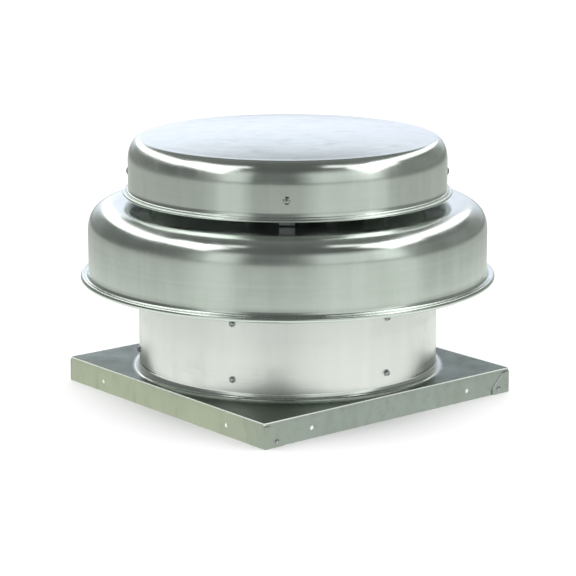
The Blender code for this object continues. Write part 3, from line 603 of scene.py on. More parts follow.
class Dresser:
    """Builds each finish once and puts it on pieces and carried-over nodes."""

    def __init__(self) -> None:
        """Starts with no material built."""
        self.palette = Palette()
        self.built: dict[str, bpy.types.Material] = {}

    def material(self, finish: Finish) -> bpy.types.Material:
        """The finish's material, built on its first use.

        Args:
            finish: the finish wanted.

        Returns:
            Its material.
        """
        if finish.name not in self.built:
            self.built[finish.name] = finish.build()
        return self.built[finish.name]

    def place(self, piece: bpy.types.Object, finish: Finish, body: Body, replaced: Iterable[str]) -> None:
        """Dresses a new piece and tells the frame what it is.

        Args:
            piece: the piece, already in its place.
            finish: its finish.
            body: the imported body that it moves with.
            replaced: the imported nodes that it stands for.
        """
        if not piece.data.materials:
            piece.data.materials.append(self.material(finish))
        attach(piece, body.value)
        nodes = list(replaced)
        if nodes:
            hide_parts(*nodes)
        log.info("%s rides on %s in %s", piece.name, body.value, finish.name)

    def turned(self, name: str, section: Section, facets: int, finish: Finish, body: Body, node: str) -> None:
        """Turns a piece round the fan's axis and dresses it.

        Args:
            name: the piece's name.
            section: its closed section.
            facets: facets round the piece.
            finish: its finish.
            body: what it moves with.
            node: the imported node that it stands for.
        """
        self.place(new_object(name, turned_mesh(name, section, facets)), finish, body, [node])

    def drive(
        self, name: str, mesh: bpy.types.Mesh, node: str, spot: Vector, direction: Sequence[float],
        spin: float = 0.0,
    ) -> None:
        """Drives a zinc-plated screw or rivet into the housing.

        Args:
            name: the piece's name.
            mesh: its mesh along +Z, with the head's underside at z = 0.
            node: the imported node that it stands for.
            spot: where the head's underside lies.
            direction: where the head points.
            spin: the head's turn about its own axis in degrees.
        """
        piece = new_object(name, mesh)
        piece.location = spot
        piece.rotation_mode = "QUATERNION"
        piece.rotation_quaternion = aim(direction) @ Quaternion((0, 0, 1), math.radians(spin))
        self.place(piece, self.palette.zinc, Body.HOUSING, [node])

    def keep(self, name: str, finish: Finish, edge: float) -> None:
        """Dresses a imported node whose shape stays, with its edges broken.

        Args:
            name: the node's name.
            finish: its finish.
            edge: the width of the broken edges.
        """
        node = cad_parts[name]
        node.data.materials.clear()
        node.data.materials.append(self.material(finish))
        bevel = node.modifiers.new("broken_edges", "BEVEL")
        bevel.width = edge
        bevel.segments = 2
        bevel.limit_method = "ANGLE"
        bevel.angle_limit = math.radians(40)
        bevel.harden_normals = True
        log.info("%s keeps its shape in %s", name, finish.name)


# Mesh helpers


def arc(centre: Point, radius: float, start: float, end: float, steps: int) -> Section:
    """Points of a circular arc.

    Args:
        centre: the arc's centre.
        radius: its radius.
        start: the first point's direction in degrees.
        end: the last point's direction.
        steps: how many steps lie between them.

    Returns:
        The points, both ends included.
    """
    turns = [math.radians(start + (end - start) * step / steps) for step in range(steps + 1)]
    return [(centre[0] + radius * math.cos(turn), centre[1] + radius * math.sin(turn)) for turn in turns]


def shoulder(corner: Point, reach: float, drop: float, power: float, steps: int) -> Section:
    """A superellipse quarter from a flat top down to a wall.

    Args:
        corner: the radius where the flat ends and the height where the wall starts.
        reach: how far out the shoulder goes.
        drop: how far down it goes.
        power: the superellipse's power, 2 for a true ellipse.
        steps: how many steps to take.

    Returns:
        The points, both ends included.
    """
    points = []
    for step in range(steps + 1):
        turn = math.pi / 2 * (1 - step / steps)
        out = max(math.cos(turn), 0.0) ** (2 / power)
        points.append((corner[0] + reach * out, corner[1] + drop * math.sin(turn) ** (2 / power)))
    return points


def run(first: Point, last: Point, steps: int) -> Section:
    """Points along a straight run, without its last one.

    Args:
        first: the first point.
        last: where the next part of the line starts.
        steps: how many points to give.

    Returns:
        The points.
    """
    shares = [step / steps for step in range(steps)]
    return [(first[0] + (last[0] - first[0]) * s, first[1] + (last[1] - first[1]) * s) for s in shares]


def thicken(face: Section, sheet: float) -> Section:
    """A closed section from a line down a sheet's outer side and its mitred copy inside.

    Args:
        face: the outer line, from its inner or top end.
        sheet: the sheet's thickness.

    Returns:
        The closed section.
    """
    points = [Vector(point) for point in face]
    steps = [(after - before).normalized() for before, after in zip(points, points[1:])]
    inner = []
    for index, point in enumerate(points):
        before = steps[max(index - 1, 0)]
        after = steps[min(index, len(steps) - 1)]
        right = Vector((before.y + after.y, -before.x - after.x)).normalized()
        moved = point + right * (sheet / right.dot(Vector((after.y, -after.x))))
        inner.append((0.0 if point.x == 0 else moved.x, moved.y))
    return list(face) + inner[::-1]


def finish_mesh(name: str, shape: bmesh.types.BMesh, sharp: float = 35.0) -> bpy.types.Mesh:
    """Turns a built bmesh into smooth mesh data with its faces pointing out.

    Args:
        name: the mesh's name.
        shape: the bmesh, which is freed.
        sharp: the angle in degrees from which an edge stays sharp.

    Returns:
        The mesh.
    """
    bmesh.ops.remove_doubles(shape, verts=shape.verts, dist=0.0005 * MM)
    bmesh.ops.recalc_face_normals(shape, faces=shape.faces)
    mesh = bpy.data.meshes.new(name)
    shape.to_mesh(mesh)
    shape.free()
    mesh.shade_smooth()
    mesh.set_sharp_from_angle(angle=math.radians(sharp))
    return mesh


def turned_mesh(name: str, section: Section, facets: int) -> bpy.types.Mesh:
    """Turns a closed section of (radius, height) points round +Z.

    Args:
        name: the mesh's name.
        section: the closed section.
        facets: facets round the piece.

    Returns:
        The mesh.
    """
    shape = bmesh.new()
    turns = [math.tau * facet / facets for facet in range(facets)]
    rings = []
    for radius, height in section:
        if radius <= 0:
            rings.append([shape.verts.new((0, 0, height))] * facets)
        else:
            points = [(radius * math.cos(turn), radius * math.sin(turn), height) for turn in turns]
            rings.append([shape.verts.new(point) for point in points])
    skin_rings(shape, rings, closed=True)
    return finish_mesh(name, shape)


def skin_rings(shape: bmesh.types.BMesh, rings: Sequence[Sequence[bmesh.types.BMVert]], closed: bool) -> None:
    """Fills the faces between rings of points.

    Args:
        shape: the bmesh that holds the points.
        rings: the rings, each with as many points.
        closed: whether the last ring joins the first one.
    """
    following = list(rings[1:]) + ([rings[0]] if closed else [])
    for ring, after in zip(rings, following):
        for place in range(len(ring)):
            beside = (place + 1) % len(ring)
            corners = list(dict.fromkeys((ring[place], after[place], after[beside], ring[beside])))
            if len(corners) > 2:
                shape.faces.new(corners)


def skin_tube(shape: bmesh.types.BMesh, rings: Sequence[Sequence[bmesh.types.BMVert]]) -> None:
    """Fills the faces between rings of points and closes both ends.

    Args:
        shape: the bmesh that holds the points.
        rings: the rings, each with as many points.
    """
    skin_rings(shape, rings, closed=False)
    shape.faces.new(rings[0])
    shape.faces.new(rings[-1])


def around(radius: float, turn: float, height: float) -> Vector:
    """A point by its direction about the fan's axis.

    Args:
        radius: its distance from the axis.
        turn: its direction in degrees from +X.
        height: its height.

    Returns:
        The point.
    """
    return Vector((radius * math.cos(math.radians(turn)), radius * math.sin(math.radians(turn)), height))


def aim(direction: Vector | Sequence[float]) -> Quaternion:
    """The rotation that turns +Z to a direction."""
    return Vector(direction).to_track_quat("Z", "Y")


def middle(node: str) -> Vector:
    """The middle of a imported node's box."""
    low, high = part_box(node)
    return (low + high) / 2


def new_object(name: str, data: bpy.types.ID) -> bpy.types.Object:
    """Links data into the scene as an object.

    Args:
        name: the object's name.
        data: its mesh, light or camera.

    Returns:
        The object.
    """
    item = bpy.data.objects.new(name, data)
    bpy.context.scene.collection.objects.link(item)
    return item


def cut(host: bpy.types.Object, holes: Iterable[tuple[Vector, Sequence[float], float, float]]) -> None:
    """Drills straight round holes through a piece.

    Args:
        host: the piece.
        holes: for each hole its middle, direction, radius and length.
    """
    shape = bmesh.new()
    for centre, direction, radius, length in holes:
        place = Matrix.Translation(centre) @ aim(direction).to_matrix().to_4x4()
        bmesh.ops.create_cone(
            shape, cap_ends=True, segments=SMALL_ROUND,
            radius1=radius, radius2=radius, depth=length, matrix=place,
        )
    carve(host, finish_mesh(host.name + "_drills", shape))


def carve(host: bpy.types.Object, mesh: bpy.types.Mesh) -> None:
    """Takes a closed mesh out of a piece and keeps the result as its mesh.

    Args:
        host: the piece.
        mesh: what to take out, in the piece's own coordinates; it is removed.
    """
    helper = new_object(mesh.name, mesh)
    helper.matrix_world = host.matrix_world
    modifier = host.modifiers.new("carve", "BOOLEAN")
    modifier.object = helper
    modifier.operation = "DIFFERENCE"
    modifier.solver = "EXACT"
    graph = bpy.context.evaluated_depsgraph_get()
    made = bpy.data.meshes.new_from_object(host.evaluated_get(graph))
    host.modifiers.clear()
    host.data = made
    made.set_sharp_from_angle(angle=math.radians(35))
    bpy.data.objects.remove(helper)
    bpy.data.meshes.remove(mesh)


# Spun sheets


@dataclass
class Shroud:
    """The large spun hood: flat top, broad shoulder, straight wall and a flared edge rolled into a bead."""

    dresser: Dresser
    shoulder_reach: float = 62 * MM
    shoulder_drop: float = 53.5 * MM
    shoulder_power: float = 2.7
    bead_radius: float = 4.65 * MM
    bead_reach: float = 9.6 * MM
    flare_height: float = 11 * MM
    opening: float = 80 * MM

    def build(self) -> None:
        """Builds the hood and dresses it."""
        low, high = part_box("shroud")
        bead_r = high.x - self.bead_radius
        bead_z = low.z + self.bead_radius
        wall = bead_r - self.bead_reach
        flat = wall - self.shoulder_reach
        wall_z = high.z - self.shoulder_drop
        face = run((self.opening, high.z), (flat, high.z), 12)
        face += shoulder((flat, wall_z), self.shoulder_reach, self.shoulder_drop, self.shoulder_power, 48)
        face += run((wall, wall_z - 4 * MM), (wall, bead_z + self.flare_height), 8)
        face += self.flare(wall, bead_r, bead_z)
        spun = self.dresser.palette.spun
        self.dresser.turned("hood", thicken(face, SHEET), ROUND, spun, Body.HOUSING, "shroud")

    def flare(self, wall: float, bead_r: float, bead_z: float) -> Section:
        """The hollow curve out to the bead and the bead's roll.

        Args:
            wall: the wall's radius.
            bead_r: the radius of the bead's middle.
            bead_z: the height of the bead's middle.

        Returns:
            The line's points.
        """
        start = (wall, bead_z + self.flare_height)
        roll = arc((bead_r, bead_z), self.bead_radius, 125, -120, 20)
        end = roll[0]
        elbow = (wall + 0.6 * MM, end[1] - 1.2 * MM)
        curve = []
        for step in range(9):
            s = step / 9
            curve.append(tuple(
                (1 - s) ** 2 * a + 2 * s * (1 - s) * b + s * s * c for a, b, c in zip(start, elbow, end)
            ))
        return curve + roll


@dataclass
class MotorCover:
    """The smaller spun cap: low crown, round shoulder, straight wall, a small step and a rolled bead."""

    dresser: Dresser
    wall_height: float = 59 * MM
    shoulder_reach: float = 24.8 * MM
    shoulder_drop: float = 39.7 * MM
    shoulder_power: float = 2.04
    bead_radius: float = 2.5 * MM
    crown: float = 13 * MM
    sheet: float = 1.2 * MM

    def build(self) -> None:
        """Builds the cap and dresses it."""
        low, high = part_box("motor_cover")
        flat = CAP_WALL - self.shoulder_reach
        flat_z = high.z - self.crown
        shoulder_z = low.z + self.wall_height
        rise = [(flat * step / 24, flat_z + self.crown * (1 - (step / 24) ** 2)) for step in range(24)]
        face = list(rise)
        face += shoulder((flat, shoulder_z), self.shoulder_reach, self.shoulder_drop, self.shoulder_power, 36)
        bead_r = high.x - self.bead_radius
        bead_z = low.z + self.bead_radius
        face += run((CAP_WALL, shoulder_z - 3 * MM), (CAP_WALL, bead_z + 7.4 * MM), 8)
        face += self.rim(bead_r, bead_z)
        spun = self.dresser.palette.spun
        self.dresser.turned("motor_cap", thicken(face, self.sheet), ROUND, spun, Body.HOUSING, "motor_cover")

    def rim(self, bead_r: float, bead_z: float) -> Section:
        """The small step under the wall and the rolled bead.

        Args:
            bead_r: the radius of the bead's middle.
            bead_z: the height of the bead's middle.

        Returns:
            The line's points.
        """
        wall = CAP_WALL
        step = arc((wall + 0.9 * MM, bead_z + 3.2 * MM), 2.2 * MM, 100, 0, 8)
        trough = arc((wall + 4.7 * MM, bead_z + 1.7 * MM), 1.5 * MM, 180, 250, 4)
        roll = arc((bead_r, bead_z), self.bead_radius, 150, -110, 16)
        return [(wall, bead_z + 6.4 * MM)] + step + trough + roll


@dataclass
class Throat:
    """The rolled cylinder between the curb cap and the hood."""

    dresser: Dresser
    edge: float = 0.5 * MM

    def build(self) -> None:
        """Builds the cylinder and dresses it."""
        low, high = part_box("throat_cylinder")
        outer, inner = high.x, high.x - SHEET
        section = [(outer - self.edge, high.z), (outer, high.z - self.edge)]
        section += run((outer, high.z - 4 * MM), (outer, low.z + self.edge), 12)
        section += [(outer, low.z + self.edge), (outer - self.edge, low.z), (inner, low.z), (inner, high.z)]
        rolled = self.dresser.palette.rolled
        self.dresser.turned("throat_wall", section, ROUND, rolled, Body.HOUSING, "throat_cylinder")


# Curb cap


@dataclass
class CurbCap:
    """Square plate with a drawn collar, four turned-down flanges, flange holes and lapped corner tabs."""

    dresser: Dresser
    fillet: float = 13 * MM
    edge_bend: float = 2.6 * MM
    corner: float = 2.6 * MM
    cut_edge: float = 0.4 * MM
    hole_radius: float = 4 * MM
    hole_inset: float = 102 * MM
    hole_height: float = 18 * MM
    relief_radius: float = 1.3 * MM
    tab_width: float = 41 * MM
    tab_tip: float = 15 * MM
    tab_straight: float = 11 * MM
    tab_height: float = 38 * MM
    tab_bend: float = 2.2 * MM

    @cached_property
    def half(self) -> float:
        """Half the cap's side."""
        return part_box("curb_cap")[1].y

    @cached_property
    def plate(self) -> float:
        """The plate's height."""
        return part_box("throat_cylinder")[0].z - GAP - self.fillet

    @cached_property
    def collar(self) -> float:
        """The collar's outer radius, which the throat slips over."""
        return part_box("throat_cylinder")[1].x - SHEET - GAP

    def build(self) -> None:
        """Builds the pan with its collar and its tabs, and dresses them."""
        piece = new_object("curb_pan", self.pan(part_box("curb_cap")[1].z))
        cut(piece, self.holes())
        self.dresser.place(piece, self.dresser.palette.folded, Body.HOUSING, ["curb_cap"])
        for side in (-1, 1):
            for end in (-1, 1):
                words = ("right" if side > 0 else "left", "back" if end > 0 else "front")
                tab = new_object(f"corner_tab_{words[0]}_{words[1]}", self.tab(side, end))
                self.dresser.place(tab, self.dresser.palette.folded, Body.HOUSING, [])

    def headings(self) -> list[tuple[float, float]]:
        """Where the pan's points lie round a unit square with rounded corners.

        Returns:
            For each point its direction in radians and its place along a corner's bend from 0 to 1, else -1.
        """
        radius = self.corner / self.half
        places = []
        for side in range(4):
            base = side * math.pi / 2
            last = math.atan(1 - radius)
            for step in range(60):
                places.append((base + last * (2 * step / 59 - 1), -1.0))
            for step in range(1, 6):
                turn = math.pi / 2 * step / 6
                x = 1 - radius + radius * math.cos(turn)
                y = 1 - radius + radius * math.sin(turn)
                places.append((base + math.atan2(y, x), step / 6))
        return places

    def pan(self, collar_top: float) -> bpy.types.Mesh:
        """The pan's mesh.

        Args:
            collar_top: the height of the collar's upper edge.

        Returns:
            The mesh.
        """
        centre = (self.collar + self.fillet, self.plate + self.fillet)
        bend = self.edge_bend
        inner_bend = bend - SHEET
        rows = [(self.collar, collar_top, False)]
        rows += [(r, z, False) for r, z in arc(centre, self.fillet, 180, 270, 16)]
        rows += [(self.half - 2.0 * bend, self.plate, True)]
        rows += [(r, z, True) for r, z in arc((self.half - bend, self.plate - bend), bend, 90, 0, 6)]
        rows += [(self.half, self.plate * share, True) for share in (0.66, 0.33)]
        rows += [(self.half, self.cut_edge, True), (self.half - self.cut_edge, 0.0, True)]
        rows += [(self.half - SHEET, 0.0, True)]
        inside = arc((self.half - bend, self.plate - bend), inner_bend, 0, 90, 4)
        rows += [(r, z, True) for r, z in inside]
        rows += [(self.half - 2.0 * bend, self.plate - SHEET, True)]
        rows += [(r, z, False) for r, z in arc(centre, self.fillet + SHEET, 270, 180, 16)]
        rows += [(self.collar - SHEET, collar_top, False)]
        shape = bmesh.new()
        headings = self.headings()
        rings = []
        for reach, height, square in rows:
            ring = []
            for turn, bent in headings:
                x, y = math.cos(turn), math.sin(turn)
                if square:
                    x, y = self.square_point(turn, bent, reach)
                else:
                    x, y = x * reach, y * reach
                ring.append(shape.verts.new((x, y, height)))
            rings.append(ring)
        skin_rings(shape, rings, closed=True)
        return finish_mesh("curb_pan", shape, 50)

    def square_point(self, turn: float, bent: float, reach: float) -> Point:
        """A point on a square with rounded corners.

        Args:
            turn: the point's direction in radians.
            bent: its place along a corner's bend from 0 to 1, or -1 on a straight side.
            reach: half the square's side.

        Returns:
            The point.
        """
        if bent < 0:
            x, y = math.cos(turn), math.sin(turn)
            stretch = reach / max(abs(x), abs(y))
            return x * stretch, y * stretch
        quarter = math.floor(turn / (math.pi / 2) + 0.0001)
        corner = max(self.corner - (self.half - reach), 0.3 * MM)
        angle = math.pi / 2 * bent
        x = reach - corner + corner * math.cos(angle)
        y = reach - corner + corner * math.sin(angle)
        for _ in range(quarter % 4):
            x, y = -y, x
        return x, y

    def holes(self) -> list[tuple[Vector, Sequence[float], float, float]]:
        """The flange holes and the small relief holes at the corners.

        Returns:
            For each hole its middle, direction, radius and length.
        """
        found = []
        along = self.half - self.hole_inset
        face = self.half - SHEET / 2
        for side in (-1, 1):
            for end in (-1, 1):
                x_place = Vector((side * face, end * along, self.hole_height))
                y_place = Vector((end * along, side * face, self.hole_height))
                found.append((x_place, (1, 0, 0), self.hole_radius, 6 * SHEET))
                found.append((y_place, (0, 1, 0), self.hole_radius, 6 * SHEET))
                relief = Vector((side * self.half, end * self.half, self.tab_height + 2.6 * MM))
                found.append((relief, (side, end, 0), self.relief_radius, 6 * SHEET))
        return found

    def tab(self, side: int, end: int) -> bpy.types.Mesh:
        """A corner tab: a folded strip that wraps from one flange on to the next.

        Args:
            side: +1 for a tab on the +X flange, -1 on the -X flange.
            end: +1 for its +Y end, -1 for its -Y end.

        Returns:
            The tab's mesh.
        """
        lap = self.half + GAP
        bend = self.tab_bend
        slant = self.tab_height - self.tab_straight
        levels = [0.0, self.cut_edge, self.tab_straight]
        levels += [self.tab_straight + slant * step / 10 for step in range(1, 11)]
        shape = bmesh.new()
        rings = []
        for height in levels:
            share = max(height - self.tab_straight, 0.0) / slant
            width = self.tab_width + (self.tab_tip - self.tab_width) * share
            tip = max(share - 0.9, 0.0) * 10 * 4 * MM
            outer_x = lap + SHEET
            outer_y = self.half + 0.15 * MM
            fold = arc((outer_x - bend, outer_y - bend), bend, 90, 0, 6)
            back = arc((outer_x - bend, outer_y - bend), bend - SHEET, 0, 90, 4)
            hem = (outer_x - bend - 1.5 * MM, outer_y)
            free = self.half - width + tip
            outline = [hem] + fold + run((outer_x, outer_y - bend), (outer_x, free), 6)[1:]
            outline += [(outer_x, free + 0.3 * MM), (outer_x - 0.3 * MM, free), (lap, free)]
            outline += back + [(hem[0], outer_y - SHEET)]
            rings.append([shape.verts.new((side * x, end * y, height)) for x, y in outline])
        skin_tube(shape, rings)
        return finish_mesh("corner_tab", shape)


# Fasteners


@dataclass
class HexScrews:
    """Hexagon washer-head screws in two rings round the throat."""

    dresser: Dresser
    washer_radius: float = 5.8 * MM
    washer_height: float = 1.2 * MM
    across_flats: float = 7.6 * MM
    head_height: float = 5 * MM
    shank_radius: float = 2.4 * MM
    shank_length: float = 12 * MM
    tip: float = 1.0 * MM
    in_ring: int = 6

    def mesh(self) -> bpy.types.Mesh:
        """The screw's mesh along +Z, with the washer's underside at z = 0.

        Returns:
            The mesh.
        """
        flat = self.across_flats / 2
        high, rim = self.head_height, self.washer_height
        rows = [
            (0.0, high - 0.9 * MM, 0.0), (flat * 0.55, high - 0.9 * MM, 0.0),
            (flat * 0.72, high - 0.1 * MM, 0.0), (flat * 0.86, high, 0.0),
            (flat * 0.98, high - 0.35 * MM, 0.35), (flat, high - 0.8 * MM, 1.0),
            (flat, rim + 0.5 * MM, 1.0), (flat * 1.06, rim + 0.1 * MM, 0.7),
            (self.washer_radius * 0.94, rim - 0.1 * MM, 0.0), (self.washer_radius, rim * 0.55, 0.0),
            (self.washer_radius, rim * 0.2, 0.0), (self.washer_radius * 0.97, 0.0, 0.0),
            (self.shank_radius, 0.0, 0.0), (self.shank_radius, -self.shank_length, 0.0),
            (0.0, -self.shank_length - self.tip, 0.0),
        ]
        shape = bmesh.new()
        facets = 48
        rings = []
        for radius, height, hexness in rows:
            if radius == 0:
                rings.append([shape.verts.new((0, 0, height))] * facets)
                continue
            ring = []
            for facet in range(facets):
                turn = math.tau * facet / facets
                within = (turn + math.pi / 6) % (math.pi / 3) - math.pi / 6
                reach = radius * (1 - hexness + hexness / math.cos(within))
                ring.append(shape.verts.new((reach * math.cos(turn), reach * math.sin(turn), height)))
            rings.append(ring)
        skin_rings(shape, rings, closed=False)
        return finish_mesh("hex_screw", shape, 28)

    def build(self) -> None:
        """Places every screw, each turned a little differently by hand."""
        mesh = self.mesh()
        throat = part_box("throat_cylinder")[1].x
        for row in ("lower", "upper"):
            for index in range(self.in_ring):
                node = f"throat_screw_{row}_{index + 1}"
                turn = 360 * index / self.in_ring
                spot = around(throat + 0.1 * MM, turn, middle(node).z)
                spin = 37 * index + 11 * len(row)
                out = around(1.0, turn, 0.0)
                self.dresser.drive(f"hex_screw_{row}_{index + 1}", mesh, node, spot, out, spin)


@dataclass
class CapScrews:
    """Pan-head screws with a cross recess, through the cap's wall."""

    dresser: Dresser
    head_radius: float = 6.6 * MM
    head_height: float = 3.4 * MM
    shank_radius: float = 2.4 * MM
    shank_length: float = 12 * MM
    recess_length: float = 7.4 * MM
    recess_width: float = 1.5 * MM
    recess_depth: float = 2.1 * MM
    dome_radius: float = 8.2 * MM
    tip: float = 1.2 * MM
    count: int = 4

    def mesh(self) -> bpy.types.Mesh:
        """The screw's mesh along +Z, with its head's underside at z = 0.

        Returns:
            The mesh.
        """
        dome = arc((0.0, self.head_height - self.dome_radius), self.dome_radius, 90, 46, 12)
        scale = self.head_radius / dome[-1][0]
        top = [(r * scale, max(z, 0.9 * MM)) for r, z in dome]
        section = top + [(self.head_radius, 0.5 * MM), (self.head_radius * 0.97, 0.0)]
        section += [(self.shank_radius, 0.0), (self.shank_radius, -self.shank_length)]
        section += [(0.0, -self.shank_length - self.tip)]
        section[0] = (0.0, section[0][1])
        return turned_mesh("pan_screw", section, SMALL_ROUND)

    def recess(self) -> bpy.types.Mesh:
        """The cross-shaped recess, tapered towards its bottom.

        Returns:
            The mesh to carve out.
        """
        shape = bmesh.new()
        top = self.head_height + 0.5 * MM
        for turned in (False, True):
            rings = []
            for height, taper in ((top, 1.0), (self.head_height - self.recess_depth, 0.45)):
                x, y = self.recess_length / 2 * taper, self.recess_width / 2
                corners = [(x, y), (-x, y), (-x, -y), (x, -y)]
                if turned:
                    corners = [(-b, a) for a, b in corners]
                rings.append([shape.verts.new((a, b, height)) for a, b in corners])
            skin_tube(shape, rings)
        return finish_mesh("cross_recess", shape)

    def build(self) -> None:
        """Places every screw."""
        pattern = new_object("pan_screw_pattern", self.mesh())
        carve(pattern, self.recess())
        mesh = pattern.data
        bpy.data.objects.remove(pattern)
        for index in range(self.count):
            node = f"cap_screw_{index + 1}"
            turn = CAP_TURN + 360 * index / self.count
            spot = around(CAP_WALL + 0.1 * MM, turn, middle(node).z)
            out = around(1.0, turn, 0.0)
            self.dresser.drive(f"pan_screw_{index + 1}", mesh, node, spot, out, 20 + 31 * index)


@dataclass
class CornerRivets:
    """Domed rivets through the corner tabs."""

    dresser: Dresser
    head_radius: float = 4.4 * MM
    head_height: float = 2.2 * MM
    head_rim: float = 0.3 * MM
    shank_radius: float = 2.2 * MM
    shank_length: float = 5 * MM
    tip: float = 0.4 * MM

    def build(self) -> None:
        """Builds and places the four rivets."""
        rise = self.head_height - self.head_rim
        dome = [(self.head_radius * math.cos(t), self.head_rim + rise * math.sin(t))
                for t in (math.pi / 2 * (1 - step / 10) for step in range(11))]
        dome[0] = (0.0, self.head_height)
        section = dome + [(self.head_radius, 0.0), (self.shank_radius, 0.0)]
        section += [(self.shank_radius, -self.shank_length), (0.0, -self.shank_length - self.tip)]
        mesh = turned_mesh("rivet", section, SMALL_ROUND)
        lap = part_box("curb_cap")[1].x + 0.05 * MM
        for index in range(4):
            node = f"corner_rivet_{index + 1}"
            centre = middle(node)
            side = 1 if centre.x > 0 else -1
            spot = Vector((side * lap, centre.y, centre.z))
            self.dresser.drive(f"tab_rivet_{index + 1}", mesh, node, spot, (side, 0, 0))


# Under the cap


@dataclass
class CapBrackets:
    """Bent straps that carry the cap over the hood."""

    dresser: Dresser
    width: float = 26 * MM
    sheet: float = 2 * MM
    foot: float = 28 * MM
    setback: float = 34 * MM
    step_rise: float = 30 * MM
    top_rise: float = 66 * MM
    bend: float = 3.4 * MM
    edge: float = 0.35 * MM
    count: int = 4

    def line(self) -> Section:
        """The strap's outer line from its foot to its top.

        Returns:
            The points as (distance from the axis, height).
        """
        foot_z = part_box("shroud")[1].z + GAP
        wall = CAP_WALL - SHEET - GAP - 0.9 * MM
        leg = wall - self.setback
        step_z = foot_z + self.step_rise - self.sheet
        bend = self.bend
        line = [(leg - self.foot, foot_z)]
        line += arc((leg - bend, foot_z + bend), bend, 270, 360, 8)
        line += arc((leg + 1.4 * MM, step_z - 1.4 * MM), 1.4 * MM, 180, 90, 5)
        line += arc((wall - bend, step_z + bend), bend, 270, 360, 8)
        line += [(wall, foot_z + self.top_rise)]
        return line

    def build(self) -> None:
        """Builds and places the four straps."""
        section = thicken(self.line(), -self.sheet)
        shape = bmesh.new()
        half = self.width / 2
        sides = (-half, -half + self.edge, half - self.edge, half)
        rings = [[shape.verts.new((x, y, z)) for x, z in section] for y in sides]
        skin_tube(shape, rings)
        mesh = finish_mesh("strap", shape)
        for index in range(self.count):
            piece = new_object(f"cap_strap_{index + 1}", mesh)
            piece.rotation_euler.z = math.radians(CAP_TURN + 360 * index / self.count)
            nodes = [f"cap_bracket_{index + 1}"]
            self.dresser.place(piece, self.dresser.palette.galvanised, Body.HOUSING, nodes)


@dataclass
class Motor:
    """Ribbed shell between two end bells, on waisted rubber mounts."""

    dresser: Dresser
    rib_pitch: float = 7 * MM
    rib_depth: float = 1.6 * MM
    rib_margin: float = 4 * MM
    wall: float = 3.6 * MM
    edge: float = 0.6 * MM
    bell_sheet: float = 5 * MM
    bell_bore: float = 12 * MM
    boss_radius: float = 25 * MM
    bearing_seat: float = 20.3 * MM
    bell_curve: float = 3 * MM
    dish: float = 0.8 * MM
    mount_radius: float = 11 * MM
    mount_waist: float = 8 * MM
    mount_rim: float = 3 * MM
    facets: int = 96

    def build(self) -> None:
        """Builds the motor's case, its end bells and its rubber mounts."""
        low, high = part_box("motor_shell")
        radius = high.x
        ribs: Section = []
        ribbed = high.z - low.z - 2 * self.rib_margin
        count = round(ribbed / self.rib_pitch)
        pitch = ribbed / count
        for rib in range(count):
            top = high.z - self.rib_margin - rib * pitch
            for drop, depth in ((0.08, 0.0), (0.42, 0.0), (0.55, 1.0), (0.92, 1.0)):
                ribs.append((radius - depth * self.rib_depth, top - drop * pitch))
        section = [(radius - self.edge, high.z), (radius, high.z - self.edge)] + ribs
        section += [(radius, low.z + self.edge), (radius - self.edge, low.z)]
        section += [(radius - self.wall, low.z), (radius - self.wall, high.z)]
        paint = self.dresser.palette.paint
        self.dresser.turned("motor_case", section, self.facets, paint, Body.HOUSING, "motor_shell")
        self.bell("motor_base", "motor_bottom_bell", 1)
        self.bell("motor_crown", "motor_top_bell", -1)
        self.isolators()

    def bell(self, name: str, node: str, inward: int) -> None:
        """An end bell with a rounded edge.

        Args:
            name: the piece's name.
            node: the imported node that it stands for.
            inward: +1 where the motor lies above it, -1 where it lies below.
        """
        low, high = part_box(node)
        outer, far = (low.z, high.z) if inward > 0 else (high.z, low.z)
        face = outer + inward * self.bell_sheet
        bore = self.bell_bore if inward > 0 else 0.0
        radius, curve, dish = high.x, self.bell_curve, self.dish
        section = [(bore, outer), (radius * 0.55, outer), (radius * 0.6, outer + inward * dish)]
        section += [(radius * 0.88, outer + inward * dish)]
        for step in range(7):
            turn = math.pi / 2 * step / 6
            sunk = curve + dish - curve * math.cos(turn)
            section.append((radius - curve + curve * math.sin(turn), outer + inward * sunk))
        section += [(radius, face), (self.boss_radius, face), (self.boss_radius, far)]
        section += [(self.bearing_seat, far), (self.bearing_seat, face), (bore, face)]
        self.dresser.turned(name, section, self.facets, self.dresser.palette.paint, Body.HOUSING, node)

    def isolators(self) -> None:
        """The three rubber mounts."""
        radius, waist, rim = self.mount_radius, self.mount_waist, self.mount_rim
        for index in range(3):
            node = f"motor_isolator_{index + 1}"
            centre = middle(node)
            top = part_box(node)[1].z - centre.z
            bottom = -top
            section = [(0.0, top), (radius - self.edge, top), (radius, top - self.edge), (radius, top - rim)]
            section += [(waist + rim * math.sin(math.pi / 2 * abs(s)) ** 2, s * (top - rim))
                        for s in (0.8, 0.5, 0.25, 0.0, -0.25, -0.5, -0.8)]
            section += [(radius, bottom + rim), (radius, bottom + self.edge), (radius - self.edge, bottom)]
            section += [(0.0, bottom)]
            piece = new_object(f"rubber_mount_{index + 1}", turned_mesh("rubber_mount", section, SMALL_ROUND))
            piece.location = centre
            self.dresser.place(piece, self.dresser.palette.rubber, Body.HOUSING, [node])


